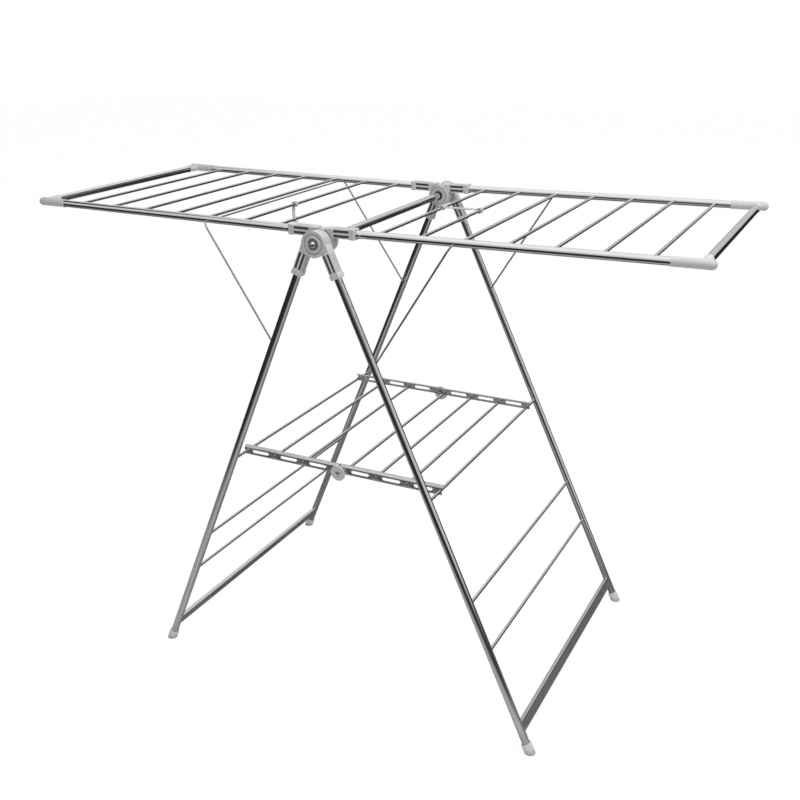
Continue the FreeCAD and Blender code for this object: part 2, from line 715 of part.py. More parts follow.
def shelf_hinges():
    """The round hinge plates on the left half's rails and the rivets through both rails."""
    axis_z = size("shelf_height") - size("hinge_drop")
    inner_face = (size("rail_plane") - 2 * size("rail_thickness") - size("rail_lap_gap")
                  - size("layer_play"))
    plate_face = size("rail_plane") + size("drill_play")
    pins = []
    for name, outward in (("front", -1), ("rear", 1)):
        turn = Rotation(X_AXIS, -90 * outward)
        at = Vector(0, outward * plate_face, axis_z)
        plate = cylinder("sizes.hinge_disc_radius", "sizes.hinge_disc_thickness", at, turn)
        bevel = bevelled(plate, size("hinge_disc_bevel"))
        hole = cylinder("sizes.hinge_pin_radius + sizes.bolt_play", "sizes.hinge_disc_thickness",
                        at, turn)
        finish(cut(bevel, [hole]), "shelf_hinge_plate_" + name)
        shank_length = plate_face + size("hinge_disc_thickness") - inner_face
        start = Vector(0, outward * inner_face, axis_z)
        shank = cylinder("sizes.hinge_pin_radius", "%r" % shank_length, start, turn)
        head_thickness = size("hinge_pin_head_thickness")
        inner_head = cylinder("sizes.hinge_pin_head_radius", "sizes.hinge_pin_head_thickness",
                              start - Y_AXIS * outward * head_thickness, turn)
        outer_head = cylinder("sizes.hinge_pin_head_radius", "sizes.hinge_pin_head_thickness",
                              start + Y_AXIS * outward * shank_length, turn)
        pins.append(fused([shank, inner_head, outer_head]))
    finish(together(pins), "shelf_hinge_rivets")


# ---------------------------------------------------------------- storage lock

def lock_ring(at):
    """The ring of a lock piece round the rod it swings on."""
    return cylinder("sizes.lock_ring_radius", "sizes.lock_width",
                    at - Y_AXIS * size("lock_width") / 2, ALONG_Y)


def rod_tool(at, play):
    """The space of a rod, with play, through a lock piece."""
    return cylinder("sizes.rod_diameter / 2 + sizes.%s" % play, "2 * sizes.lock_width",
                    at - Y_AXIS * size("lock_width"), ALONG_Y)


def lock_strap():
    """The long strap on the right wing: it lies on the first rod and hooks over it."""
    places = wing_rod_places()
    z = size("wing_offset")
    ring_at = Vector(places[1], size("strap_y"), z)
    hook_at = Vector(places[0], size("strap_y"), z)
    half = size("lock_width") / 2
    bar = box("%r" % (places[1] - places[0]), "sizes.lock_width", "sizes.lock_thickness",
              hook_at - Vector(0, half, 0))
    mouth_half = size("rod_diameter") / 2 + size("lock_mouth_play")
    mouth = box("%r" % (2 * mouth_half), "sizes.lock_width", "2 * sizes.lock_ring_radius",
                hook_at - Vector(mouth_half, half, 2 * size("lock_ring_radius")))
    lip = box("2 * sizes.lock_ring_radius", "sizes.lock_width", "sizes.lock_ring_radius",
              hook_at - Vector(size("lock_ring_radius"), half,
                               size("lock_mouth_depth") + size("lock_ring_radius")))
    tools = [rod_tool(ring_at, "lock_play"), rod_tool(hook_at, "lock_mouth_play"), mouth, lip]
    finish(cut(fused([lock_ring(ring_at), lock_ring(hook_at), bar]), tools),
           "right_lock_strap", wing_frame(RIGHT))


def lock_catch():
    """The short catch that hangs from the left wing's second rod, its hook at the bottom."""
    rod = Vector(wing_rod_places()[1], size("catch_y"), size("wing_offset"))
    at = wing_frame(LEFT).multVec(rod)
    half = size("lock_width") / 2
    length = size("catch_length")
    hook_at = Vector(0, 0, -length)
    bar = box("sizes.lock_thickness", "sizes.lock_width", "sizes.catch_length",
              Vector(-size("lock_ring_radius"), -half, -length))
    mouth_half = size("rod_diameter") / 2 + size("lock_mouth_play")
    mouth = box("2 * sizes.lock_ring_radius", "sizes.lock_width", "%r" % (2 * mouth_half),
                hook_at - Vector(0, half, mouth_half))
    shape = cut(fused([lock_ring(Vector()), lock_ring(hook_at), bar]),
                [rod_tool(Vector(), "lock_play"), rod_tool(hook_at, "lock_mouth_play"), mouth])
    finish(shape, "left_lock_catch", Placement(at, Rotation()))


# ---------------------------------------------------------------- the whole part

def build():
    """Draws every sub-part, checks the document and writes one file for each."""
    hub_stack()
    for side in SIDES:
        for local_end in (-1, 1):
            leg_tube(side, local_end)
            foot(side, local_end)
            leg_hub(side, local_end)
            wing_side_tube(side, local_end)
            wing_corner(side, local_end)
            wing_hub(side, local_end)
        stretcher(side)
        leg_rods(side)
        wing_end_tube(side)
        wing_rods(side)
        wing_rivets(side)
        stay(side)
        shelf_half(side)
    shelf_hinges()
    lock_strap()
    lock_catch()
    document.recompute()

    for item in document.Objects:
        if "Invalid" in item.State or "Error" in item.State:
            raise RuntimeError("%s failed to build" % item.Name)
    os.makedirs("parts", exist_ok=True)
    for item in subparts:
        if item.Shape.isNull() or not item.Shape.isValid():
            raise RuntimeError("%s has no valid shape" % item.Label)
        item.Shape.exportStep(os.path.join("parts", item.Label + ".step"))


build()
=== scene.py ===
import math
import bpy
import numpy as np
from mathutils import Matrix, Vector


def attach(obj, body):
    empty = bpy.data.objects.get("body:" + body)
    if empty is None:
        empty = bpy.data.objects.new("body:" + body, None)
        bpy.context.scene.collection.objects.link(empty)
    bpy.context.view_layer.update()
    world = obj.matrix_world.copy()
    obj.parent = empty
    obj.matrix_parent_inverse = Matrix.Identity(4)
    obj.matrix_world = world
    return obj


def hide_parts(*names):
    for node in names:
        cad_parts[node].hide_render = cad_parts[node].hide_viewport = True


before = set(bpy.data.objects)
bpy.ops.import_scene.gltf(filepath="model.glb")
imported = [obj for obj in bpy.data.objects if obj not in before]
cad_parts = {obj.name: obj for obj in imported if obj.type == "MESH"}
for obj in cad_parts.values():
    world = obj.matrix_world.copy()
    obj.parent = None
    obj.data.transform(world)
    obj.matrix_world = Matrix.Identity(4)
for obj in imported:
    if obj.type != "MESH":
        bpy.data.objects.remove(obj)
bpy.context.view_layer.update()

# ---------------------------------------------------------------- frame tubes
# The frame is thin-walled stainless tube, 16 mm across, drawn and then polished on a wheel.
# Legs and side tubes stand in the hub's sockets at one end and in plastic feet or corners at
# the other. The punch that pierced them for rods and wires left a shallow dent at each hole.
MM = 0.001
HUB_HEIGHT = 1000 * MM
LEG_LEAN, WING_RISE = 23.5, 0.6                 # degrees
LEG_PLANE, WING_PLANE = 294 * MM, 266 * MM      # middle planes of legs and side tubes
LEG_OFFSET, WING_OFFSET = 16.5 * MM, 18 * MM    # hub axis to the tubes' axes
TUBE_RADIUS, TUBE_WALL = 8 * MM, 0.8 * MM
SOCKET_START = 30.3 * MM                        # hub axis to the tubes' upper ends
CORNER_GAP = 11 * MM                            # axis of the crossing tube to a tube's end
WING_REACH, FIRST_ROD, ROD_COUNT = 747 * MM, 118 * MM, 7
ROD_PLACES = FIRST_ROD + np.arange(ROD_COUNT) * (WING_REACH - FIRST_ROD) / ROD_COUNT
STAY_REACH, STAY_ANCHOR, SHELF_HEIGHT = 286 * MM, 765 * MM, 497 * MM
LEG_ROD_HEIGHTS = (295 * MM, 201 * MM)
RIVET_REACH = 88 * MM
FOOT_SOLE = 4 * MM
DENT_DEPTH, DENT_WIDTH, LIP = 0.35 * MM, 4.5 * MM, 0.25 * MM
SIDES = ("right", "left")
LEAN = math.radians(LEG_LEAN)


def unit_place(side, turn):
    """The 4x4 place of a folding unit: on the hub axis, tipped, and turned to its own side."""
    half_turn = Matrix.Rotation(0 if side == "right" else math.pi, 4, "Z")
    tipped = Matrix.Rotation(math.radians(turn), 4, "Y")
    return np.array(Matrix.Translation((0, 0, HUB_HEIGHT)) @ half_turn @ tipped)


LEG_PLACES = {side: unit_place(side, -LEG_LEAN) for side in SIDES}
WING_PLACES = {side: unit_place(side, -WING_RISE) for side in SIDES}


def end_name(side, end):
    """Front is the -Y end. Left-hand units are turned round, so their ends swap."""
    return "front" if (end < 0) == (side == "right") else "rear"


def down_leg(height):
    """The distance down a leg, from the hub axis, of its tube axis' point at a height."""
    return (HUB_HEIGHT + LEG_OFFSET * math.sin(LEAN) - height) / math.cos(LEAN)


def lying(axis, at):
    """The place of a round part whose own Z axis lies along X, Y or Z from a point."""
    place = np.eye(4)
    place[:3, :3] = np.roll(np.eye(3), {"X": -1, "Y": 1, "Z": 0}[axis], axis=1)
    place[:3, 3] = at
    return place


def carried(place, points):
    """Points of any shape (..., 3) turned and moved by a 4x4 place."""
    return points @ place[:3, :3].T + place[:3, 3]


def woven(rows, closed, place):
    """A closed shell from a grid of points (rows, columns, 3) whose columns wrap round.

    Closed rows wrap round as well, as on a ring. Open ones are closed with a flat fan to the
    mean point of the first row and of the last row.
    """
    count, columns = rows.shape[:2]
    index = np.arange(count * columns).reshape(count, columns)
    here, there = (index, np.roll(index, -1, axis=0)) if closed else (index[:-1], index[1:])
    quads = np.stack([here, np.roll(here, -1, 1), np.roll(there, -1, 1), there], axis=-1)
    points = rows.reshape(-1, 3)
    fans = np.zeros((0, 3), int)
    if not closed:
        points = np.concatenate([points, rows[:1].mean(1), rows[-1:].mean(1)])
        first, last = index[0], index[-1]
        poles = np.full(columns, count * columns)
        fans = np.concatenate([np.stack([np.roll(first, -1), first, poles], axis=-1),
                               np.stack([last, np.roll(last, -1), poles + 1], axis=-1)])
    return points, quads.reshape(-1, 4), fans, place


def turned_out(points, quads, fans):
    """The faces as lists, turned over if the shell's signed volume comes out negative."""
    triangles = np.concatenate([quads[:, [0, 1, 2]], quads[:, [0, 2, 3]], fans])
    a, b, c = (points[triangles[:, corner]] - points.mean(0) for corner in range(3))
    if np.einsum("ij,ij->", a, np.cross(b, c)) < 0:
        quads, fans = quads[:, ::-1], fans[:, ::-1]
    return quads, fans


def edge_values(mesh):
    """How sharply the surface turns at each vertex, from 0 to 1.

    The angle at an edge is twice the arc cosine of half the length of its two face normals'
    sum. Angles over 12 degrees count, and half of each value spreads to the neighbours.
    """
    loops, edges, polygons = len(mesh.loops), len(mesh.edges), len(mesh.polygons)
    loop_edge, sides = np.zeros(loops, int), np.zeros(polygons, int)
    normals, ends = np.zeros(polygons * 3), np.zeros(edges * 2, int)
    mesh.loops.foreach_get("edge_index", loop_edge)
    mesh.polygons.foreach_get("loop_total", sides)
    mesh.polygons.foreach_get("normal", normals)
    mesh.edges.foreach_get("vertices", ends)
    total = np.zeros((edges, 3))
    np.add.at(total, loop_edge, np.repeat(normals.reshape(-1, 3), sides, axis=0))
    angle = 2 * np.degrees(np.arccos(np.clip(np.linalg.norm(total, axis=1) / 2, 0, 1)))
    sharp = np.clip((angle - 12) / 30, 0, 1)
    a, b = ends.reshape(-1, 2).T
    value = np.zeros(len(mesh.vertices))
    np.maximum.at(value, a, sharp)
    np.maximum.at(value, b, sharp)
    spread = value.copy()
    np.maximum.at(spread, a, value[b] / 2)
    np.maximum.at(spread, b, value[a] / 2)
    return spread


def keep(mesh, name, kind, field, values):
    """Stores one value per vertex in the mesh, for its material to read."""
    stored = mesh.attributes.new(name, kind, "POINT")
    stored.data.foreach_set(field, np.ascontiguousarray(values, dtype=np.float32).ravel())


def piece(name, shells, material, body, slot, *nodes):
    """One smooth-shaded object made of closed shells, riding on a body in its nodes' stead.

    Each vertex keeps its grain, which is its place in its shell's own straight frame, and
    its edge value.
    """
    points, grain, faces, first = [], [], [], 0
    for local, quads, fans, place in shells:
        final = carried(place, local)
        quads, fans = turned_out(final, quads, fans)
        points.append(final)
        grain.append(local)
        faces += (quads + first).tolist() + (fans + first).tolist()
        first += len(local)
    mesh = bpy.data.meshes.new(name)
    mesh.from_pydata(np.concatenate(points).tolist(), [], faces)
    mesh.polygons.foreach_set("use_smooth", np.ones(len(mesh.polygons), bool))
    mesh.set_sharp_from_angle(angle=math.radians(38))
    keep(mesh, "grain", "FLOAT_VECTOR", "vector", np.concatenate(grain))
    keep(mesh, "edge", "FLOAT", "value", edge_values(mesh))
    mesh.materials.append(material)
    thing = bpy.data.objects.new(name, mesh)
    bpy.context.scene.collection.objects.link(thing)
    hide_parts(*nodes)
    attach(thing, body)
    return thing


def add(tree, kind, inputs=None, **settings):
    """A new node. Each input is given a number, a colour or another node's output."""
    made = tree.nodes.new(kind)
    for key, value in settings.items():
        setattr(made, key, value)
    for key, value in (inputs or {}).items():
        if isinstance(value, bpy.types.NodeSocket):
            tree.links.new(value, made.inputs[key])
        else:
            made.inputs[key].default_value = value
    return made


def group_of(name, inputs, outputs):
    """An empty shader group with named sockets, and its input and output nodes."""
    kinds = {"v": "NodeSocketVector", "c": "NodeSocketColor", "f": "NodeSocketFloat"}
    group = bpy.data.node_groups.new(name, "ShaderNodeTree")
    for direction, sockets in (("INPUT", inputs), ("OUTPUT", outputs)):
        for label, kind in sockets.items():
            group.interface.new_socket(label, in_out=direction, socket_type=kinds[kind])
    return group, group.nodes.new("NodeGroupInput"), group.nodes.new("NodeGroupOutput")


def mixed(tree, share, one, other):
    """The colour between two colours at a share from 0 to 1."""
    node = add(tree, "ShaderNodeMix", {0: share, 6: one, 7: other}, data_type="RGBA")
    return node.outputs[2]


def worked(tree, operation, *values):
    """The result of one arithmetic step."""
    return add(tree, "ShaderNodeMath", dict(enumerate(values)), operation=operation).outputs[0]


def noise(tree, vector, scales, detail=4.0):
    """Noise whose grain is scaled along each axis, so that it can be drawn out into lines."""
    stretched = add(tree, "ShaderNodeMapping", {"Vector": vector, "Scale": scales})
    return add(tree, "ShaderNodeTexNoise", {"Vector": stretched.outputs[0], "Scale": 1.0,
                                            "Detail": detail}).outputs["Fac"]


# Drawn steel: hair lines run along the stock, and handling leaves dull smudges across it.
drawn_steel, given, result = group_of(
    "drawn steel", {"Grain": "v", "Tone": "c", "Roughness": "f"},
    {"Color": "c", "Roughness": "f", "Height": "f"})
hair = noise(drawn_steel, given.outputs["Grain"], (3800, 3800, 30), 3.0)
smudge = noise(drawn_steel, given.outputs["Grain"], (55, 55, 14), 3.0)
shade = worked(drawn_steel, "MULTIPLY_ADD", smudge, 0.22, 0.0)
darker = add(drawn_steel, "ShaderNodeHueSaturation",
             {"Color": given.outputs["Tone"], "Value": 0.82}).outputs[0]
drawn_steel.links.new(mixed(drawn_steel, shade, given.outputs["Tone"], darker),
                      result.inputs["Color"])
dull = worked(drawn_steel, "MULTIPLY_ADD", smudge, 0.10, given.outputs["Roughness"])
dull = worked(drawn_steel, "MULTIPLY_ADD", hair, 0.05, dull)
drawn_steel.links.new(worked(drawn_steel, "SUBTRACT", dull, 0.07), result.inputs["Roughness"])
drawn_steel.links.new(hair, result.inputs["Height"])


def steel(name, tone, roughness, relief):
    """A material of drawn steel: bare metal, its tone, polish and hair-line relief given."""
    material = bpy.data.materials.new(name)
    material.use_nodes = True
    tree = material.node_tree
    shader = tree.nodes["Principled BSDF"]
    shader.inputs["Metallic"].default_value = 1.0
    grain = add(tree, "ShaderNodeAttribute", attribute_name="grain")
    drawn = add(tree, "ShaderNodeGroup", node_tree=drawn_steel)
    tree.links.new(grain.outputs["Vector"], drawn.inputs["Grain"])
    drawn.inputs["Tone"].default_value = (*tone, 1)
    drawn.inputs["Roughness"].default_value = roughness
    tree.links.new(drawn.outputs["Color"], shader.inputs["Base Color"])
    tree.links.new(drawn.outputs["Roughness"], shader.inputs["Roughness"])
    bump = add(tree, "ShaderNodeBump", {"Height": drawn.outputs["Height"], "Strength": relief,
                                        "Distance": 0.05 * MM})
    tree.links.new(bump.outputs[0], shader.inputs["Normal"])
    return material


polished_tube = steel("polished tube", (0.82, 0.82, 0.83), 0.09, 0.10)


def tube_shell(length, place, radius=TUBE_RADIUS, wall=TUBE_WALL, dents=(), columns=48):
    """A hollow tube along its own Z, its ends turned over a small lip.

    Its outer radius is constant but for a bell at each pierced hole: the depth times
    exp(-(distance / width)^2), with the distance measured over the tube's surface.
    """
    angle = np.arange(columns) * 2 * np.pi / columns
    bell = np.linspace(-2.5, 2.5, 11) * DENT_WIDTH
    stations = [np.linspace(0, length, 13), [LIP, length - LIP]]
    stations += [hole + bell for hole, _ in dents]
    along = np.unique(np.clip(np.concatenate(stations), 0, length))
    outer = np.full((len(along), columns), radius)
    for hole, facing in dents:
        around = radius * ((angle - facing + np.pi) % (2 * np.pi) - np.pi)
        outer -= DENT_DEPTH * np.exp(-((along[:, None] - hole) ** 2 + around ** 2) / DENT_WIDTH ** 2)
    outer[[0, -1]] -= LIP
    radii = np.concatenate([outer, np.full_like(outer, radius - wall)[::-1]])
    heights = np.concatenate([along, along[::-1]])[:, None] + np.zeros(columns)
    rows = np.stack([radii * np.cos(angle), radii * np.sin(angle), heights], axis=-1)
    return woven(rows, True, place)


def leg_tube(side, end):
    """A leg's tube, from its foot up to the hub, dented on its inner side."""
    lowest = down_leg(0) - (TUBE_RADIUS * math.sin(LEAN) + FOOT_SOLE) / math.cos(LEAN)
    heights = (STAY_ANCHOR, SHELF_HEIGHT) + LEG_ROD_HEIGHTS
    dents = [(lowest - down_leg(height), -end * math.pi / 2) for height in heights]
    at = (LEG_OFFSET, end * LEG_PLANE, -lowest)
    return tube_shell(lowest - SOCKET_START, LEG_PLACES[side] @ lying("Z", at), dents=dents)


def side_tube(side, end):
    """A side tube, from the hub to its corner: rod holes inside, a rivet's hole outside."""
    inner = 0.0 if end < 0 else math.pi
    dents = [(place - SOCKET_START, inner) for place in ROD_PLACES]
    dents += [(STAY_REACH - SOCKET_START, -math.pi / 6), (STAY_REACH - SOCKET_START, math.pi * 7 / 6)]
    dents.append((RIVET_REACH - SOCKET_START, math.pi - inner))
    at = (SOCKET_START, end * WING_PLANE, WING_OFFSET)
    length = WING_REACH - CORNER_GAP - SOCKET_START
    return tube_shell(length, WING_PLACES[side] @ lying("X", at), dents=dents)


for side in SIDES:
    for end in (-1, 1):
        place = end_name(side, end)
        piece("%s_leg_tube_%s_polished" % (side, place), [leg_tube(side, end)], polished_tube,
              side + "_leg_frame", "tube_steel", "%s_leg_tube_%s" % (side, place))
        piece("%s_side_tube_%s_polished" % (side, place), [side_tube(side, end)], polished_tube,
              side + "_wing", "tube_steel", "%s_wing_tube_%s" % (side, place))
    end_half = WING_PLANE - CORNER_GAP
    end_tube = tube_shell(2 * end_half,
                          WING_PLACES[side] @ lying("Y", (WING_REACH, -end_half, WING_OFFSET)))
    piece(side + "_end_tube_polished", [end_tube], polished_tube, side + "_wing", "tube_steel",
          side + "_wing_end_tube")
AXLE_HALF = 252.9 * MM                          # the axle tube stands in both inner covers
axle = tube_shell(2 * AXLE_HALF, lying("Y", (0, -AXLE_HALF, HUB_HEIGHT)))
piece("axle_tube_polished", [axle], polished_tube, "left_leg_frame", "tube_steel", "axle_tube")

# ---------------------------------------------------------------- drying rods and leg rods
# Seven thin-walled rods, 6.5 mm across, span each wing, and two tie each pair of legs. They
# are pushed through the punched holes and spread inside the tubes, so no weld shows.
ROD_RADIUS, ROD_WALL, ROD_SEAT = 3.25 * MM, 0.7 * MM, 4 * MM
polished_rod = steel("polished rod", (0.72, 0.72, 0.73), 0.16, 0.10)


def cross_rod(half, x, z, place):
    """A hollow rod along Y, from -half to half, in a unit's own frame."""
    return tube_shell(2 * half, place @ lying("Y", (x, -half, z)), ROD_RADIUS, ROD_WALL, columns=28)


for side in SIDES:
    wing_half = WING_PLANE - TUBE_RADIUS + ROD_SEAT
    rods = [cross_rod(wing_half, x, WING_OFFSET, WING_PLACES[side]) for x in ROD_PLACES]
    piece(side + "_drying_rods", rods, polished_rod, side + "_wing", "rod_steel",
          side + "_wing_rods")
    leg_half = LEG_PLANE - TUBE_RADIUS + ROD_SEAT
    rods = [cross_rod(leg_half, LEG_OFFSET, -down_leg(height), LEG_PLACES[side])
            for height in LEG_ROD_HEIGHTS]
    piece(side + "_tie_rods", rods, polished_rod, side + "_leg_frame", "rod_steel",
          side + "_leg_rods")

# ---------------------------------------------------------------- stretchers
# A flat-sided tube, 22 by 10 mm, welded between each pair of legs just above the feet. Its
# ends are coped to the round legs, and its long corners are rolled.
STRETCHER_HEIGHT = 47.5 * MM
STRETCHER_THICK, STRETCHER_DEEP, STRETCHER_WALL = 10 * MM, 22 * MM, 1 * MM
STRETCHER_CORNER = 2.6 * MM
STRETCHER_PLAY = 0.05 * MM
satin_flat_tube = steel("satin flat tube", (0.62, 0.62, 0.63), 0.20, 0.4)


def rounded_section(thick, deep, corner, turns=6):
    """Points round a rectangle whose corners are quarter circles: at each corner, its own
    centre plus the corner's radius along directions from one side's normal to the next."""
    angle = np.linspace(0, np.pi / 2, turns) + np.arange(4)[:, None] * np.pi / 2
    reach_x, reach_y = thick / 2 - corner, deep / 2 - corner
    centre_x = reach_x * np.array([1, -1, -1, 1])[:, None]
    centre_y = reach_y * np.array([1, 1, -1, -1])[:, None]
    return (centre_x + corner * np.cos(angle)).ravel(), (centre_y + corner * np.sin(angle)).ravel()


def coped_skin(x, z):
    """A skin along Y whose two ends meet a round leg: at each x across the section, the end
    lies at the leg's plane less the half chord of the leg's circle there."""
    half = LEG_PLANE - np.sqrt((TUBE_RADIUS + STRETCHER_PLAY) ** 2 - x ** 2)
    share = np.linspace(-1, 1, 9)[:, None]
    return np.stack([x + 0 * share, half * share, z + 0 * share], axis=-1)


for side in SIDES:
    outside = coped_skin(*rounded_section(STRETCHER_THICK, STRETCHER_DEEP, STRETCHER_CORNER))
    inside = coped_skin(*rounded_section(STRETCHER_THICK - 2 * STRETCHER_WALL,
                                         STRETCHER_DEEP - 2 * STRETCHER_WALL,
                                         STRETCHER_CORNER - STRETCHER_WALL))
    at = lying("Z", (LEG_OFFSET, 0, -down_leg(STRETCHER_HEIGHT)))
    shell = woven(np.concatenate([outside, inside[::-1]]), True, LEG_PLACES[side] @ at)
    piece(side + "_flat_stretcher", [shell], satin_flat_tube, side + "_leg_frame",
          "stretcher_steel", side + "_stretcher")

# ---------------------------------------------------------------- hub mouldings
# Eight grey mouldings join the tubes at the hub. Each is half a disc thick where it turns on
# the bolt, and an arm with two long recesses, which save plastic, ends in a raised collar.
HUB_RADIUS, HUB_CLEARANCE, BOLT_HOLE = 26 * MM, 26.6 * MM, 4.06 * MM
ARM_HALF, ARM_START, LAP = 10 * MM, 9 * MM, 0.1 * MM
ARM_REACHES = {"leg": 80 * MM, "wing": 77 * MM}
ARM_CORNER, COLLAR_LENGTH = 1.5 * MM, 11 * MM
COLLAR_RIMS = (0.5 * MM, 1.0 * MM)              # how far the collar stands out: depth, width
RECESS_START, RECESS_END_GAP, RECESS_DEPTH = 29 * MM, 2 * MM, 2.6 * MM
RECESS_MIDDLE, RECESS_HALF, DRAFT = 4.7 * MM, 2.5 * MM, 0.15 * MM
SOCKET_RADIUS, SOCKET_DEPTH = 8.05 * MM, 30 * MM

# Moulded plastic: a fine spark-eroded texture, faint flow marks, and rubbed paler edges.
moulded, given, result = group_of(
    "moulded plastic", {"Place": "v", "Base": "c", "Worn": "c", "Edge": "f", "Roughness": "f"},
    {"Color": "c", "Roughness": "f", "Height": "f"})
spark = noise(moulded, given.outputs["Place"], (2600, 2600, 2600), 2.0)
flow = noise(moulded, given.outputs["Place"], (60, 60, 38), 3.0)
scuff = noise(moulded, given.outputs["Place"], (420, 260, 420), 6.0)
toned = mixed(moulded, worked(moulded, "MULTIPLY", flow, 0.35), given.outputs["Base"],
              add(moulded, "ShaderNodeHueSaturation",
                  {"Color": given.outputs["Base"], "Value": 0.84}).outputs[0])
speckled = mixed(moulded, worked(moulded, "MULTIPLY", spark, 0.12), toned, given.outputs["Worn"])
rubbed = worked(moulded, "MULTIPLY", given.outputs["Edge"], scuff)
moulded.links.new(mixed(moulded, worked(moulded, "MULTIPLY", rubbed, 0.9), speckled,
                        given.outputs["Worn"]), result.inputs["Color"])
matt = worked(moulded, "MULTIPLY_ADD", flow, 0.12, given.outputs["Roughness"])
moulded.links.new(worked(moulded, "MULTIPLY_ADD", rubbed, -0.25, matt),
                  result.inputs["Roughness"])
moulded.links.new(worked(moulded, "MULTIPLY_ADD", scuff, 0.4, spark), result.inputs["Height"])


def plastic(name, base, worn, roughness, colour_step=None):
    """A material of moulded plastic. The colour step may tint it before it is used."""
    material = bpy.data.materials.new(name)
    material.use_nodes = True
    tree = material.node_tree
    shader = tree.nodes["Principled BSDF"]
    place = add(tree, "ShaderNodeTexCoord").outputs["Object"]
    edge = add(tree, "ShaderNodeAttribute", attribute_name="edge").outputs["Fac"]
    cast = add(tree, "ShaderNodeGroup", node_tree=moulded)
    tree.links.new(place, cast.inputs["Place"])
    tree.links.new(edge, cast.inputs["Edge"])
    cast.inputs["Base"].default_value = (*base, 1)
    cast.inputs["Worn"].default_value = (*worn, 1)
    cast.inputs["Roughness"].default_value = roughness
    colour = cast.outputs["Color"]
    if colour_step:
        colour = colour_step(tree, place, colour)
    tree.links.new(colour, shader.inputs["Base Color"])
    tree.links.new(cast.outputs["Roughness"], shader.inputs["Roughness"])
    bump = add(tree, "ShaderNodeBump", {"Height": cast.outputs["Height"], "Strength": 0.35,
                                        "Distance": 0.08 * MM})
    tree.links.new(bump.outputs[0], shader.inputs["Normal"])
    return material


def painted_recess_shade(tree, place, colour):
    """Painted shade in the arm's recesses, mixed nearly to black: where the grain's y lies under the wide
    face and its x and z lie within the recessed stretch of the arm."""
    grain = add(tree, "ShaderNodeAttribute", attribute_name="grain").outputs["Vector"]
    x, y, z = add(tree, "ShaderNodeSeparateXYZ", {0: grain}).outputs[:]
    sunk = worked(tree, "SUBTRACT", ARM_HALF - 0.3 * MM, worked(tree, "ABSOLUTE", y))
    sunk = worked(tree, "DIVIDE", sunk, RECESS_DEPTH * 0.5)
    share = add(tree, "ShaderNodeClamp", {0: sunk}).outputs[0]
    for limit in (worked(tree, "GREATER_THAN", x, RECESS_START - 2 * DRAFT),
                  worked(tree, "LESS_THAN", x, ARM_REACHES["wing"] - COLLAR_LENGTH),
                  worked(tree, "LESS_THAN", worked(tree, "ABSOLUTE", z), ARM_HALF - 2.5 * MM)):
        share = worked(tree, "MULTIPLY", share, limit)
    # painted shade: the recess colour is mixed 92% toward near black
    return mixed(tree, worked(tree, "MULTIPLY", share, 0.92), colour, (0.022, 0.022, 0.024, 1))


hub_grey = plastic("hub grey", (0.29, 0.29, 0.295), (0.50, 0.50, 0.50), 0.46, painted_recess_shade)


def softened(profile, reach, closed=True):
    """A profile whose corners c turn into the curves (1-t)^2 a + 2t(1-t) c + t^2 b, where a
    and b lie on the corner's two sides, at most the reach away."""
    corner = np.asarray(profile, float)

    def toward(shift):
        """The points on the sides toward the neighbours that a shift brings alongside."""
        side = np.roll(corner, shift, axis=0) - corner
        length = np.maximum(np.linalg.norm(side, axis=1, keepdims=True), 1e-9)
        return corner + side * np.minimum(reach / length, 0.45)

    t = np.linspace(0, 1, 4)[:, None, None]
    curve = (1 - t) ** 2 * toward(1) + 2 * t * (1 - t) * corner + t ** 2 * toward(-1)
    curve = curve.transpose(1, 0, 2)
    if closed:
        return curve.reshape(-1, 2)
    return np.concatenate([corner[:1], curve[1:-1].reshape(-1, 2), corner[-1:]])


def lathe(profile, place, closed=True, columns=72):
    """A profile of (radius, height) points turned about its own Z axis."""
    radius, height = np.asarray(profile).T[:, :, None]
    angle = np.arange(columns) * 2 * np.pi / columns
    rows = np.stack([radius * np.cos(angle), radius * np.sin(angle), height + 0 * angle], axis=-1)
    return woven(rows, closed, place)


def arm_section():
    """Columns round the arm's square section: their depth y, width z, and how much of the
    recess reaches them, with close pairs of columns at the recesses' walls."""
    flat = ARM_HALF - ARM_CORNER
    wall = RECESS_HALF + DRAFT
    marks = [RECESS_MIDDLE - wall, RECESS_MIDDLE - RECESS_HALF + DRAFT, RECESS_MIDDLE,
             RECESS_MIDDLE + RECESS_HALF - DRAFT, RECESS_MIDDLE + wall]
    half_face = np.array([0.0] + marks + [flat])
    half_cut = np.array([0, 0, 1, 1, 1, 0, 0.0])
    face = np.concatenate([-half_face[:0:-1], half_face])
    cut = np.concatenate([half_cut[:0:-1], half_cut])
    top = np.array([-flat, -flat / 2, -LAP, LAP, flat / 2, flat])
    turn = np.linspace(0, np.pi / 2, 6)[1:-1]
    arc_y, arc_z = flat + ARM_CORNER * np.sin(turn), flat + ARM_CORNER * np.cos(turn)
    y = np.concatenate([0 * face - ARM_HALF, -arc_y[::-1], top, arc_y, 0 * face + ARM_HALF,
                        arc_y[::-1], -top, -arc_y])
    z = np.concatenate([face, arc_z[::-1], 0 * top + ARM_HALF, arc_z, -face, -arc_z[::-1],
                        0 * top - ARM_HALF, -arc_z])
    none_on_arc, none_on_top = 0 * arc_y, 0 * top
    recess = np.concatenate([cut, none_on_arc, none_on_top, none_on_arc, cut, none_on_arc,
                             none_on_top, none_on_arc])
    return y, z, recess


def arm_start(y, z, offset):
    """Where the arm begins: inside its own disc, or clear of its neighbour's disc, whose
    circle it follows, on the other half of its depth."""
    clear = np.sqrt(np.maximum(HUB_CLEARANCE ** 2 - (z + offset) ** 2, 0))
    return np.where(y > 0, np.maximum(clear, ARM_START), ARM_START)


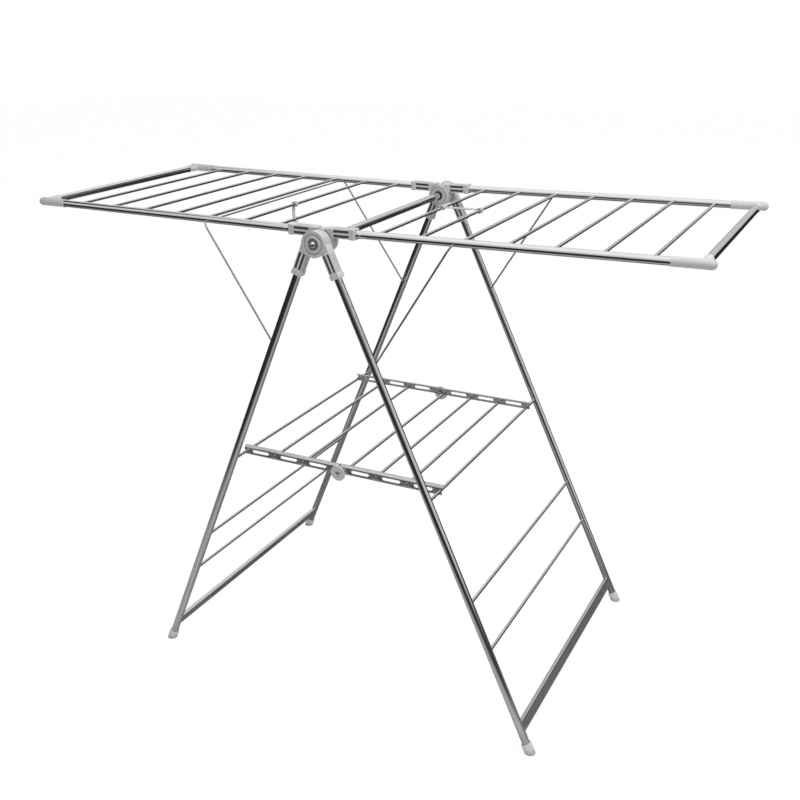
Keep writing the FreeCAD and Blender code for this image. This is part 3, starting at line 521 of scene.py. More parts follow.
def hub_arm(reach, offset, place):
    """An arm along X with its recesses, collar and socket, as one closed skin.

    Each row is the section at one distance along the arm: grown to the collar's size or drawn
    in at a rounded end, with the recess taken off its two wide faces.
    """
    y, z, recess = arm_section()
    start = arm_start(y, z, offset)
    collar = reach - COLLAR_LENGTH
    recess_end = collar - RECESS_END_GAP
    rows = []
    for share in (0.004, 0.35, 0.7):
        rows.append(np.stack([arm_start(y * share, z * share, offset), y * share, z * share], -1))
    stations = [(None, -0.5 * MM, 0, 0), (0.5 * MM, 0, 0, 0),
                (RECESS_START - DRAFT, 0, 0, 0), (RECESS_START + DRAFT, 0, 0, 1),
                (RECESS_START + 1.2 * MM, 0, 0, 1),
                ((RECESS_START + recess_end) / 2, 0, 0, 1), (recess_end - 1.2 * MM, 0, 0, 1),
                (recess_end - DRAFT, 0, 0, 1), (recess_end + DRAFT, 0, 0, 0),
                (collar - 0.2 * MM, 0, 0, 0), (collar + 0.1 * MM, 0, 0.55, 0),
                (collar + 0.7 * MM, 0, 1, 0), (reach - 1.2 * MM, 0, 1, 0),
                (reach - 0.35 * MM, -0.3 * MM, 1, 0), (reach, -1.1 * MM, 1, 0)]
    for x, inset, grown, cut in stations:
        if x is None:
            along = start
        else:
            along = start + x if x < ARM_START else x + 0 * start
        grow_y = 1 + (inset + grown * COLLAR_RIMS[0]) / ARM_HALF
        grow_z = 1 + (inset + grown * COLLAR_RIMS[1]) / ARM_HALF
        cut_y = y * grow_y - np.sign(y) * cut * recess * RECESS_DEPTH
        rows.append(np.stack([along, cut_y, z * grow_z], axis=-1))
    bearing = np.arctan2(z, y)
    mouth = [(SOCKET_RADIUS + 0.5 * MM, reach), (SOCKET_RADIUS, reach - 0.5 * MM),
             (SOCKET_RADIUS, SOCKET_DEPTH)]
    for radius, x in mouth:
        rows.append(np.stack([x + 0 * bearing, radius * np.cos(bearing), radius * np.sin(bearing)], -1))
    return woven(np.stack(rows), False, place)


def hub_disc(place):
    """The half-thick disc that turns on the bolt, its rims rounded."""
    profile = [(BOLT_HOLE, 0), (HUB_RADIUS, 0), (HUB_RADIUS, ARM_HALF - LAP),
               (BOLT_HOLE, ARM_HALF - LAP)]
    return lathe(softened(profile, 0.8 * MM), place)


for side in SIDES:
    leg_turn = np.array(Matrix.Rotation(math.pi / 2, 4, "Y"))
    for end in (-1, 1):
        for kind, plane, offset, unit, body in (
                ("leg", LEG_PLANE, LEG_OFFSET, LEG_PLACES[side] @ leg_turn, side + "_leg_frame"),
                ("wing", WING_PLANE, WING_OFFSET, WING_PLACES[side], side + "_wing")):
            arm_place = unit @ lying("Z", (0, end * plane, offset))
            disc_place = unit @ lying("Y", (0, end * plane - ARM_HALF, 0))
            node = "%s_%s_hub_%s" % (side, kind, end_name(side, end))
            piece(node + "_moulding",
                  [hub_arm(ARM_REACHES[kind], offset, arm_place), hub_disc(disc_place)],
                  hub_grey, body, "grey_plastic", node)

# ---------------------------------------------------------------- hub covers and nuts
# The bolt carries, from outside in: a domed nut, a stepped cap, the leg discs, a spacer, the
# wing discs and an inner cover. The covers are moulded discs, and the nuts are plated steel.
NUT_FLATS, NUT_BODY, NUT_DOME = 6.45 * MM, 2.4 * MM, 4.4 * MM
CAP_FACE, NUT_SEAT = 304.3 * MM, 305.3 * MM
SPACER_FACE, SPACER_DEPTH, SPACER_RADIUS = 276.3 * MM, 7.4 * MM, 24 * MM
COVER_FACE = 250.3 * MM
CAP_PROFILE = np.array([(4.06, 0), (27.5, 0), (27.5, 1.5), (27.0, 2.0), (21.2, 2.0), (20.6, 1.2),
                        (18.4, 1.2), (17.5, 2.0), (17.2, 3.2), (13.2, 3.2), (12.0, 2.4),
                        (11.6, 1.05), (4.06, 1.05)]) * MM
COVER_PROFILE = np.array([(4.06, 3.0), (11.0, 3.0), (11.0, 0), (20.0, 0), (20.6, 0.7), (23.0, 0.7),
                          (23.6, 0), (25.0, 0.4), (25.0, 5.4), (4.06, 5.4)]) * MM


def facing(end, at):
    """The place of a round part whose own Z axis points to the near (-1) or far (1) end."""
    place = np.eye(4)
    place[:3, :3] = [[1, 0, 0], [0, 0, -1], [0, 1, 0]] if end < 0 else [[0, 1, 0], [0, 0, 1], [1, 0, 0]]
    place[:3, 3] = at
    return place


def domed_nut(place, columns=72):
    """A hexagon whose radius is the flat's distance over the cosine of the angle from the
    flat's middle, its top chamfered into a circle, under half an ellipsoid."""
    angle = np.arange(columns) * 2 * np.pi / columns
    sixth = np.pi / 3
    hexagon = NUT_FLATS / np.cos((angle + sixth / 2) % sixth - sixth / 2)
    rise = np.linspace(0.12, np.pi / 2 - 0.04, 9)
    dome = NUT_FLATS * 0.94
    radii = [hexagon * 0 + BOLT_HOLE, hexagon * 0.97, hexagon, hexagon,
             np.minimum(hexagon, NUT_FLATS * 1.04), np.minimum(hexagon, NUT_FLATS) * 0.98]
    heights = [0, 0, 0.15 * MM, NUT_BODY - 0.5 * MM, NUT_BODY, NUT_BODY + 0.3 * MM]
    radii += [dome * np.cos(turn) + 0 * angle for turn in rise]
    heights += [NUT_BODY + NUT_DOME * math.sin(turn) for turn in rise]
    radius, height = np.stack(radii), np.array(heights)[:, None]
    rows = np.stack([radius * np.cos(angle), radius * np.sin(angle), height + 0 * radius], -1)
    return woven(rows, False, place)


def painted_groove_shade(tree, place, colour):
    """Painted shade in a turned part's groove and well: three bands of distance from its own axis, which is
    the length of the grain's x and y."""
    grain = add(tree, "ShaderNodeAttribute", attribute_name="grain").outputs["Vector"]
    flat = add(tree, "ShaderNodeMapping", {"Vector": grain, "Scale": (1, 1, 0)}).outputs[0]
    radius = add(tree, "ShaderNodeVectorMath", {0: flat}, operation="LENGTH").outputs["Value"]
    for middle, half, strength in ((19.5 * MM, 1.5 * MM, 0.42), (12.6 * MM, 0.9 * MM, 0.25),
                                   (7.0 * MM, 4.6 * MM, 0.75)):
        away = worked(tree, "ABSOLUTE", worked(tree, "SUBTRACT", radius, middle))
        inside = add(tree, "ShaderNodeMapRange", {"Value": away, "From Min": half, "From Max":
                                                  half - 0.5 * MM, "To Max": strength}).outputs[0]
        # painted shade: each band mixes the colour toward near black
        colour = mixed(tree, inside, colour, (0.035, 0.035, 0.037, 1))
    return colour


cap_grey = plastic("cap grey", (0.31, 0.31, 0.315), (0.52, 0.52, 0.52), 0.44, painted_groove_shade)
plated_fixing = steel("plated fixing", (0.85, 0.85, 0.86), 0.13, 0.15)
nuts, spacers = [], []
for end, name in ((-1, "front"), (1, "rear")):
    cap = lathe(softened(CAP_PROFILE, 0.35 * MM), facing(end, (0, end * CAP_FACE, HUB_HEIGHT)))
    piece("hub_cap_%s_stepped" % name, [cap], cap_grey, "left_leg_frame", "grey_plastic",
          "hub_cap_" + name)
    cover = lathe(softened(COVER_PROFILE, 0.35 * MM),
                  facing(end, (0, end * COVER_FACE, HUB_HEIGHT)))
    piece("hub_inner_cover_%s_stepped" % name, [cover], cap_grey, "left_leg_frame",
          "grey_plastic", "hub_inner_cover_" + name)
    nuts.append(domed_nut(facing(end, (0, end * NUT_SEAT, HUB_HEIGHT))))
    ring = [(BOLT_HOLE, 0), (SPACER_RADIUS, 0), (SPACER_RADIUS, SPACER_DEPTH),
            (BOLT_HOLE, SPACER_DEPTH)]
    spacers.append(lathe(softened(ring, 0.6 * MM),
                         facing(end, (0, end * SPACER_FACE, HUB_HEIGHT))))
piece("hub_domed_nuts", nuts, plated_fixing, "left_leg_frame", "bright_fixings", "hub_cap_nuts")
piece("hub_spacer_rings", spacers, cap_grey, "left_leg_frame", "grey_plastic", "hub_spacers")

# The bolt itself is hidden by the pieces it holds, so its CAD shape stays, in plated steel.
plated_bolt = steel("plated bolt", (0.70, 0.69, 0.66), 0.28, 0.6)
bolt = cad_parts["hub_bolt"]
bolt.data.materials.clear()
bolt.data.materials.append(plated_bolt)

# ---------------------------------------------------------------- feet
# Each leg stands in a light grey moulded foot: a sleeve over the tube's end with a ribbed
# collar, its sole cut level with the floor and scuffed where it drags.
FOOT_RADIUS, FOOT_COVER, FOOT_BEVEL, SOLE_LIFT = 10.5 * MM, 14 * MM, 1.5 * MM, 0.01 * MM


def dusty(tree, place, colour):
    """Floor dust: darker within about 12 mm of the floor, broken up by noise."""
    height = add(tree, "ShaderNodeSeparateXYZ", {0: place}).outputs["Z"]
    low = worked(tree, "SUBTRACT", 1.0, worked(tree, "DIVIDE", height, 12 * MM))
    patchy = worked(tree, "MULTIPLY", low, noise(tree, place, (240, 240, 240), 5.0))
    share = add(tree, "ShaderNodeClamp", {0: worked(tree, "MULTIPLY", patchy, 0.8)}).outputs[0]
    return mixed(tree, share, colour, (0.16, 0.15, 0.14, 1))


foot_grey = plastic("foot grey", (0.29, 0.29, 0.29), (0.60, 0.60, 0.60), 0.50, dusty)


def foot(side, end, columns=56):
    """A sleeve down the leg's axis, cut level with the floor.

    Down to the sole each row is a circle at one distance down the leg. At the sole the
    distance is the floor's own: (hub height + x sin lean) / cos lean at each point's x.
    """
    angle = np.arange(columns) * 2 * np.pi / columns
    inner = down_leg(0) - (TUBE_RADIUS * math.sin(LEAN) + FOOT_SOLE) / math.cos(LEAN) + 0.3 * MM
    top = inner - FOOT_COVER
    sleeve = [(SOCKET_RADIUS, inner), (SOCKET_RADIUS, top + 0.4 * MM),
              (SOCKET_RADIUS + 0.4 * MM, top), (FOOT_RADIUS - FOOT_BEVEL, top),
              (FOOT_RADIUS - 0.4 * MM, top + 0.6 * MM), (FOOT_RADIUS, top + FOOT_BEVEL),
              (FOOT_RADIUS, top + 4.0 * MM), (FOOT_RADIUS - 0.5 * MM, top + 4.4 * MM),
              (FOOT_RADIUS - 0.5 * MM, top + 5.2 * MM), (FOOT_RADIUS, top + 5.6 * MM)]
    sole = [(FOOT_RADIUS, -0.9 * MM), (FOOT_RADIUS - 0.3 * MM, -0.25 * MM),
            (FOOT_RADIUS - 0.9 * MM, -SOLE_LIFT), (FOOT_RADIUS * 0.6, -SOLE_LIFT),
            (FOOT_RADIUS * 0.3, -SOLE_LIFT)]
    rows = []
    for radius, down in sleeve:
        rows.append(np.stack([LEG_OFFSET + radius * np.cos(angle), radius * np.sin(angle),
                              -down + 0 * angle], axis=-1))
    for radius, lift in sole:
        x = LEG_OFFSET + radius * np.cos(angle)
        floor_down = (HUB_HEIGHT + x * math.sin(LEAN)) / math.cos(LEAN)
        rows.append(np.stack([x, radius * np.sin(angle), -(floor_down + lift)], axis=-1))
    return woven(np.stack(rows), False, LEG_PLACES[side] @ lying("Z", (0, end * LEG_PLANE, 0)))


for side in SIDES:
    for end in (-1, 1):
        node = "%s_foot_%s" % (side, end_name(side, end))
        piece(node + "_moulding", [foot(side, end)], foot_grey, side + "_leg_frame",
              "foot_plastic", node)

# ---------------------------------------------------------------- wing corners
# A moulded elbow closes each wing's corner: a sleeve over the side tube that ends in a round
# tip, and a short branch over the end tube, blended into the sleeve.
CORNER_RADIUS, CORNER_SLEEVE, CORNER_TIP = 9.45 * MM, 56 * MM, 11 * MM
BRANCH_RADIUS, BLEND = 9.2 * MM, 2.2 * MM
corner_grey = plastic("corner grey", (0.33, 0.33, 0.335), (0.52, 0.52, 0.52), 0.47)


def elbow_sleeve(place):
    """A lathe profile: socket, mouth with a bead, plain sleeve, then a hemisphere."""
    inside = CORNER_SLEEVE - CORNER_GAP + 0.3 * MM
    turn = np.linspace(0.08, np.pi / 2 - 0.06, 10)[:, None]
    tip = CORNER_SLEEVE + CORNER_TIP
    dome = np.concatenate([CORNER_RADIUS * np.cos(turn), tip + CORNER_RADIUS * np.sin(turn)], 1)
    mouth = softened(np.array([(SOCKET_RADIUS, inside), (SOCKET_RADIUS, 0), (CORNER_RADIUS, 0),
                               (CORNER_RADIUS, 2.4 * MM), (CORNER_RADIUS - 0.35 * MM, 2.9 * MM),
                               (CORNER_RADIUS - 0.35 * MM, 30 * MM), (CORNER_RADIUS, tip)]),
                     0.4 * MM, closed=False)
    return lathe(np.concatenate([mouth, dome]), place, closed=False, columns=56)


def elbow_branch(place, columns=56):
    """A sleeve whose radius grows towards the elbow by the blend times exp(-beyond / blend),
    most along the side tube and not at all above it, then its mouth and socket."""
    angle = np.arange(columns) * 2 * np.pi / columns
    out = np.concatenate([np.linspace(2, 8, 3), np.linspace(9, 16, 8), [24, 31.2]]) * MM
    beyond = np.maximum(out - 9 * MM, 0)[:, None]
    swell = BLEND * np.exp(-beyond / BLEND) * np.sin(angle) ** 2 * (out[:, None] > 8.5 * MM)
    radius = BRANCH_RADIUS - 0.3 * MM + swell
    height = out[:, None] + 0 * angle
    mouth = np.array([(BRANCH_RADIUS, 31.8), (BRANCH_RADIUS, 33.5), (BRANCH_RADIUS - 0.4 * MM, 34),
                      (SOCKET_RADIUS + 0.2 * MM, 34), (SOCKET_RADIUS, 33.6),
                      (SOCKET_RADIUS, 11.3)]) * (1, MM)
    radius = np.concatenate([radius, mouth[:, :1] + 0 * angle])
    height = np.concatenate([height, mouth[:, 1:] + 0 * angle])
    rows = np.stack([radius * np.cos(angle), radius * np.sin(angle), height], axis=-1)
    return woven(rows, False, place)


for side in SIDES:
    for end in (-1, 1):
        wing = WING_PLACES[side]
        sleeve = elbow_sleeve(wing @ lying("X", (WING_REACH - CORNER_SLEEVE, end * WING_PLANE,
                                                 WING_OFFSET)))
        inward = np.diag([1, -end, 1, 1]) @ lying("Y", (0, 0, 0))
        branch_at = lying("Z", (WING_REACH, end * WING_PLANE, WING_OFFSET))
        branch = elbow_branch(wing @ branch_at @ inward)
        node = "%s_wing_corner_%s" % (side, end_name(side, end))
        piece(node + "_elbow", [sleeve, branch], corner_grey, side + "_wing", "grey_plastic", node)

# ---------------------------------------------------------------- side tube rivets
# A button-headed rivet pins each side tube just outside its hub collar.
RIVET_RADIUS, RIVET_SEAT, RIVET_RISE = 3.2 * MM, 7.0 * MM, 1.5 * MM
for side in SIDES:
    rivets = []
    for end in (-1, 1):
        turn = np.linspace(0, np.pi / 2 - 0.08, 8)[:, None]
        shank = np.array([(RIVET_RADIUS * 0.9, 0), (RIVET_RADIUS, 0.7 * MM)])
        dome = np.concatenate([RIVET_RADIUS * np.cos(turn),
                               TUBE_RADIUS - RIVET_SEAT + RIVET_RISE * np.sin(turn)], axis=1)
        at = (RIVET_REACH, end * (WING_PLANE + RIVET_SEAT), WING_OFFSET)
        rivets.append(lathe(np.concatenate([shank, dome]), WING_PLACES[side] @ facing(end, at),
                            closed=False, columns=40))
    piece(side + "_button_rivets", rivets, plated_fixing, side + "_wing", "bright_fixings",
          side + "_wing_rivets")

# ---------------------------------------------------------------- wire stays
# A U of 4 mm spring wire props each wing. Its bight turns in the side tubes; its arms slant in
# beside them and run down to the legs, where the tips bend in towards their holes.
WIRE_RADIUS, STAY_DROP = 2 * MM, 4 * MM
STAY_ELBOW, STAY_PLANE, STAY_JOG = 277.5 * MM, 281 * MM, 13 * MM
STAY_BEND, TIP_BEND, TIP_PLANE = 5 * MM, 2.5 * MM, 285.5 * MM
spring_wire = steel("spring wire", (0.66, 0.66, 0.67), 0.20, 0.35)


def bent(route, radii):
    """The route with each inner corner c replaced by (1-t)^2 a + 2t(1-t) c + t^2 b, where a
    and b lie the bend radius over the tangent of half the corner's angle from it."""
    before, corner, after = route[:-2], route[1:-1], route[2:]
    back = (before - corner) / np.linalg.norm(before - corner, axis=1, keepdims=True)
    on = (after - corner) / np.linalg.norm(after - corner, axis=1, keepdims=True)
    half = np.arccos(np.clip((back * on).sum(1), -1, 1))[:, None] / 2
    setback = np.asarray(radii)[:, None] / np.tan(half)
    t = np.linspace(0, 1, 9)[:, None, None]
    curve = ((1 - t) ** 2 * (corner + back * setback) + 2 * t * (1 - t) * corner
             + t ** 2 * (corner + on * setback))
    return np.concatenate([route[:1], curve.transpose(1, 0, 2).reshape(-1, 3), route[-1:]])


def wire_shell(path, radius, place, columns=20):
    """A round wire along a path in its own XY plane, its ends drawn in over two small rows.

    A row is the path's point plus the radius times cos(angle) across the path and sin(angle)
    along Z.
    """
    angle = np.arange(columns) * 2 * np.pi / columns
    tangent = np.gradient(path, axis=0)
    tangent /= np.linalg.norm(tangent, axis=1, keepdims=True)
    ends = [0, 0] + list(range(len(path))) + [-1, -1]
    path, tangent = path[ends], tangent[ends]
    inset, size = np.zeros(len(path)), np.full(len(path), radius)
    inset[[1, 2]], inset[[-2, -3]] = (0.15 * radius, 0.5 * radius), (-0.15 * radius, -0.5 * radius)
    size[[0, -1]], size[[1, -2]] = 0.5 * radius, 0.85 * radius
    path = path + tangent * inset[:, None]
    across = np.cross((0, 0, 1.0), tangent)
    ring = np.cos(angle)[:, None] * across[:, None] + np.sin(angle)[:, None] * (0, 0, 1.0)
    return woven(path[:, None] + size[:, None, None] * ring, False, place)


def stay_shell(side):
    """The whole stay in its own frame, the bight along X and the arms along Y, then placed
    with its Y axis pointing from the pivot on the wing to the anchor on the leg."""
    right_wing, right_leg = WING_PLACES["right"], LEG_PLACES["right"]
    pivot = carried(right_wing, np.array([STAY_REACH, 0, WING_OFFSET - STAY_DROP]))
    anchor = carried(right_leg, np.array([LEG_OFFSET, 0, -down_leg(STAY_ANCHOR)]))
    arm = np.linalg.norm(anchor - pivot)
    half = np.array([(STAY_ELBOW, 0), (STAY_PLANE, STAY_JOG), (STAY_PLANE, arm), (TIP_PLANE, arm)])
    flat = np.concatenate([half[::-1] * (-1, 1), half])
    route = np.column_stack([flat, np.zeros(len(flat))])
    radii = [TIP_BEND, STAY_BEND, STAY_BEND, STAY_BEND, STAY_BEND, TIP_BEND]
    down = (anchor - pivot) / arm
    place = np.eye(4)
    place[:3, 0] = (0, 1, 0)
    place[:3, 1] = down
    place[:3, 2] = np.cross((0, 1, 0), down)
    place[:3, 3] = pivot
    half_turn = np.array(Matrix.Rotation(0 if side == "right" else math.pi, 4, "Z"))
    return wire_shell(bent(route, radii), WIRE_RADIUS, half_turn @ place)


for side in SIDES:
    piece(side + "_wire_stay", [stay_shell(side)], spring_wire, side + "_stay", "stay_wire",
          side + "_stay")

# ---------------------------------------------------------------- shelf rails
# Each half of the shelf has two rails pressed from 1.5 mm sheet: the web has three slots with
# rolled-in rims, and its top is bent over into a narrow flange. An ear takes the hinge rivet.
PIVOT_X = carried(LEG_PLACES["right"], np.array([LEG_OFFSET, 0, -down_leg(SHELF_HEIGHT)]))[0]
SHELF_PITCH = (PIVOT_X - 14.7 * MM) / 3
RAIL_FACES = {"left": 247.0 * MM, "right": 245.2 * MM}
RAIL_BOTTOM, RAIL_TOP, RAIL_SHEET, RAIL_FLANGE = 490 * MM, 509 * MM, 1.5 * MM, 8 * MM
RAIL_BEND, RAIL_BUTT, RAIL_END = 5.5 * MM, 0.2 * MM, PIVOT_X + 5 * MM
SLOT_HEIGHT, SLOT_HALF, SLOT_LEVEL = 6 * MM, (SHELF_PITCH - 32 * MM) / 2, 498.5 * MM
EAR_RADIUS, HINGE_LEVEL, PIN_HOLE, SLOT_DIP = 8 * MM, 491.5 * MM, 2.56 * MM, 0.6 * MM
brushed_rail = steel("brushed rail", (0.70, 0.70, 0.71), 0.27, 0.6)


def sheet_patch(grid):
    """Points and quads of an open grid (rows, columns, 2) on the flat sheet."""
    count, columns = grid.shape[:2]
    index = np.arange(count * columns).reshape(count, columns)
    quads = np.stack([index[:-1, :-1], index[:-1, 1:], index[1:, 1:], index[1:, :-1]], axis=-1)
    return grid.reshape(-1, 2), quads.reshape(-1, 4)


def slot_patch(middle, half, straight_top):
    """The sheet round one slot: rows run from the slot's outline out to the cell's edges.

    A point on the cell's edge is joined to the nearest point of the slot's middle line, and
    the outline lies the slot's half height from that line, towards the edge.
    """
    x_run, s_run = np.linspace(-half, half, 13), np.linspace(0, straight_top, 5)
    edge = np.concatenate([np.column_stack([x_run, 0 * x_run]),
                           np.column_stack([half + 0 * s_run, s_run])[1:],
                           np.column_stack([x_run[::-1], straight_top + 0 * x_run])[1:],
                           np.column_stack([-half + 0 * s_run, s_run[::-1]])[1:]])
    level, radius = SLOT_LEVEL - RAIL_BOTTOM, SLOT_HEIGHT / 2
    line = np.column_stack([np.clip(edge[:, 0], radius - SLOT_HALF, SLOT_HALF - radius),
                            level + 0 * edge[:, 0]])
    out = (edge - line) / np.linalg.norm(edge - line, axis=1, keepdims=True)
    rim = line + out * radius
    shares = np.array([0, 0.5, 1.0])[:, None, None] * MM
    near = rim + out * np.minimum(shares, np.linalg.norm(edge - rim, axis=1)[:, None] * 0.8)
    grid = np.concatenate([near, (near[-1:] + edge) / 2, edge[None]])
    grid = grid + np.array([middle, 0])
    return sheet_patch(grid)


def bent_over(sheet, face, sign, end):
    """The flat sheet (x, s) folded to its shape: upright up to the bend, then a quarter
    circle of the bend's radius, then level, inwards. Slot rims dip by the rim's depth times
    exp(-(distance / depth)^2)."""
    x, s = sheet[:, 0], sheet[:, 1]
    upright = RAIL_TOP - RAIL_BOTTOM - RAIL_BEND
    turn = np.clip((s - upright) / RAIL_BEND, 0, np.pi / 2)
    level = np.maximum(s - upright - RAIL_BEND * np.pi / 2, 0)
    depth = RAIL_BEND * (1 - np.cos(turn)) + level
    height = RAIL_BOTTOM + np.minimum(s, upright) + RAIL_BEND * np.sin(turn)
    slots = PIVOT_X - SHELF_PITCH * (np.arange(3) + 0.5)
    nearest = slots[np.abs(x[:, None] - slots).argmin(1)]
    along = np.maximum(np.abs(x - nearest) - SLOT_HALF + SLOT_HEIGHT / 2, 0)
    outside = np.hypot(along, s - SLOT_LEVEL + RAIL_BOTTOM) - SLOT_HEIGHT / 2
    depth = depth + SLOT_DIP * np.exp(-(outside / SLOT_DIP) ** 2)
    return np.column_stack([sign * x, end * (face - depth), height])


def rail(side, end):
    """One rail: the folded sheet, given its thickness inwards, and the ear as its own ring."""
    sign, face = (1 if side == "right" else -1), RAIL_FACES[side]
    upright = RAIL_TOP - RAIL_BOTTOM - RAIL_BEND
    cells = [slot_patch(PIVOT_X - SHELF_PITCH * (k + 0.5), SHELF_PITCH / 2, upright)
             for k in range(3)]
    ends = ((RAIL_BUTT, PIVOT_X - 3 * SHELF_PITCH), (PIVOT_X, RAIL_END))
    for low, high in ends:
        x, s = np.meshgrid(np.linspace(low, high, 4), np.linspace(0, upright, 5), indexing="ij")
        cells.append(sheet_patch(np.stack([x, s], axis=-1)))
    runs = [np.linspace(low, high, 4) for low, high in ends]
    runs += [PIVOT_X - SHELF_PITCH * (k + 0.5) + np.linspace(-1, 1, 13) * SHELF_PITCH / 2
             for k in range(3)]
    over = upright + np.concatenate([np.linspace(0, 1, 8) * RAIL_BEND * np.pi / 2,
                                     [RAIL_BEND * np.pi / 2 + RAIL_FLANGE - RAIL_BEND]])
    for run in runs:
        x, s = np.meshgrid(run, over, indexing="ij")
        cells.append(sheet_patch(np.stack([x, s], axis=-1)))
    flat = np.concatenate([points for points, _ in cells])
    starts = np.cumsum([0] + [len(points) for points, _ in cells[:-1]])
    quads = np.concatenate([faces + start for (_, faces), start in zip(cells, starts)])
    _, first_of, merged = np.unique(np.round(flat / (0.01 * MM)).astype(int), axis=0,
                                       return_index=True, return_inverse=True)
    flat, quads = flat[first_of], merged.reshape(-1)[quads]
    points = bent_over(flat, face, sign, end)
    a, b, c = (points[quads[:, corner]] for corner in range(3))
    if end * np.cross(b - a, c - a)[:, 1].sum() < 0:
        quads = quads[:, ::-1]
    return points, quads, flat


def rail_piece(side, end, name):
    """Puts a rail's sheet and ear into one object, with the sheet's thickness as a modifier."""
    points, quads, flat = rail(side, end)
    node = "%s_shelf_rail_%s" % (side, name)
    mesh = bpy.data.meshes.new(node + "_pressing")
    mesh.from_pydata(points.tolist(), [], quads.tolist())
    mesh.polygons.foreach_set("use_smooth", np.ones(len(mesh.polygons), bool))
    mesh.set_sharp_from_angle(angle=math.radians(38))
    keep(mesh, "grain", "FLOAT_VECTOR", "vector", np.column_stack([flat[:, 1], 0 * flat[:, 0], flat[:, 0]]))
    mesh.materials.append(brushed_rail)
    thing = bpy.data.objects.new(node + "_pressing", mesh)
    bpy.context.scene.collection.objects.link(thing)
    thickness = thing.modifiers.new("sheet", "SOLIDIFY")
    thickness.thickness, thickness.offset = RAIL_SHEET, -1.0
    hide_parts(node)
    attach(thing, side + "_shelf")
    ring = np.array([(PIN_HOLE, 0), (EAR_RADIUS, 0), (EAR_RADIUS, RAIL_SHEET), (PIN_HOLE, RAIL_SHEET)])
    at = (0, end * (RAIL_FACES[side] - RAIL_SHEET), HINGE_LEVEL)
    piece(node + "_ear", [lathe(softened(ring, 0.25 * MM), facing(end, at), columns=40)],
          brushed_rail, side + "_shelf", "rail_steel", node)


for side in SIDES:
    for end, name in ((-1, "front"), (1, "rear")):
        rail_piece(side, end, name)

# ---------------------------------------------------------------- shelf rods
# Five hollow rods pass through the rails' webs and are peened over outside them. One solid
# rod at each end of the shelf runs on into the legs, and the shelf half turns on it.
HEAD_RADIUS, HEAD_THICK, HEAD_PLAY = 4.6 * MM, 0.8 * MM, 0.08 * MM
PIVOT_HALVES = {"left": 290.0 * MM, "right": 285.5 * MM}


def peened_rod(x, face):
    """A hollow rod with a low head at each end, as a closed profile turned about Y."""
    half = face + HEAD_PLAY + HEAD_THICK
    bore = ROD_RADIUS - ROD_WALL
    head = [(bore, 0), (HEAD_RADIUS - 0.8 * MM, 0), (HEAD_RADIUS, 0.4 * MM),
            (HEAD_RADIUS - 0.1 * MM, HEAD_THICK), (ROD_RADIUS, HEAD_THICK)]
    tail = [(radius, 2 * half - height) for radius, height in reversed(head)]
    return lathe(softened(head + tail, 0.15 * MM), lying("Y", (x, -half, SHELF_HEIGHT)), columns=28)


for side in SIDES:
    sign = 1 if side == "right" else -1
    count = 3 if side == "right" else 2
    rods = [peened_rod(sign * (PIVOT_X - SHELF_PITCH * (k + 1)), RAIL_FACES[side])
            for k in range(count)]
    piece(side + "_peened_rods", rods, polished_rod, side + "_shelf", "rod_steel",
          side + "_shelf_rods")
    half = PIVOT_HALVES[side]
    ends = np.array([(ROD_RADIUS - 0.5 * MM, 0), (ROD_RADIUS, 0.5 * MM),
                     (ROD_RADIUS, 2 * half - 0.5 * MM), (ROD_RADIUS - 0.5 * MM, 2 * half)])
    pivot = lathe(ends, lying("Y", (sign * PIVOT_X, -half, SHELF_HEIGHT)), closed=False, columns=28)
    piece(side + "_pivot_rod", [pivot], polished_rod, side + "_shelf", "rod_steel",
          side + "_shelf_pivot_rod")

# ---------------------------------------------------------------- shelf hinges
# Round grey plates cover the middle hinges, and a rivet with a low head holds each one and
# both rails' ears together.
PLATE_FACE, PLATE_DEPTH = 247.08 * MM, 4 * MM
PIN_RADIUS, PIN_HEAD, PIN_HEAD_RISE = 2.5 * MM, 4.5 * MM, 1.2 * MM
PIN_INNER = 243.4 * MM
PLATE_PROFILE = np.array([(2.56, 0), (17, 0), (17, 2.7), (15.8, 4), (11.6, 4), (11.0, 3.2),
                          (8.6, 3.2), (8.0, 4), (6.0, 4), (5.4, 3.5), (2.56, 3.5)]) * MM
plate_grey = plastic("plate grey", (0.34, 0.34, 0.345), (0.54, 0.54, 0.54), 0.45)
pins = []
for end, name in ((-1, "front"), (1, "rear")):
    plate = lathe(softened(PLATE_PROFILE, 0.35 * MM), facing(end, (0, end * PLATE_FACE, HINGE_LEVEL)))
    piece("shelf_hinge_plate_%s_moulding" % name, [plate], plate_grey, "left_shelf",
          "grey_plastic", "shelf_hinge_plate_" + name)
    shank = PLATE_FACE + PLATE_DEPTH - PIN_INNER
    turn = np.linspace(0.3, np.pi / 2 - 0.12, 6)[:, None]
    outer = np.concatenate([PIN_HEAD * np.cos(turn), shank + PIN_HEAD_RISE * np.sin(turn)], axis=1)
    inner = outer[::-1] * (1, -1) + (0, shank)
    profile = np.concatenate([inner, [(PIN_RADIUS, 0), (PIN_RADIUS, shank)], outer])
    pins.append(lathe(profile, facing(end, (0, end * PIN_INNER, HINGE_LEVEL)), closed=False,
                      columns=40))
piece("shelf_hinge_pins", pins, plated_fixing, "left_shelf", "bright_fixings",
      "shelf_hinge_rivets")

# ---------------------------------------------------------------- storage lock
# Two moulded pieces hold the folded airer shut. A strap turns on the right wing's second rod
# and snaps over its first; a short catch hangs from the left wing's second rod.
LOCK_RADIUS, LOCK_WIDTH, LOCK_THICK = 6.5 * MM, 9 * MM, 3.4 * MM
RING_BORE, HOOK_BORE = 3.4 * MM, 3.6 * MM
CATCH_LENGTH, CATCH_Y, STRAP_Y = 36 * MM, 56 * MM, 30 * MM
lock_grey = plastic("lock grey", (0.27, 0.27, 0.275), (0.45, 0.45, 0.45), 0.42)


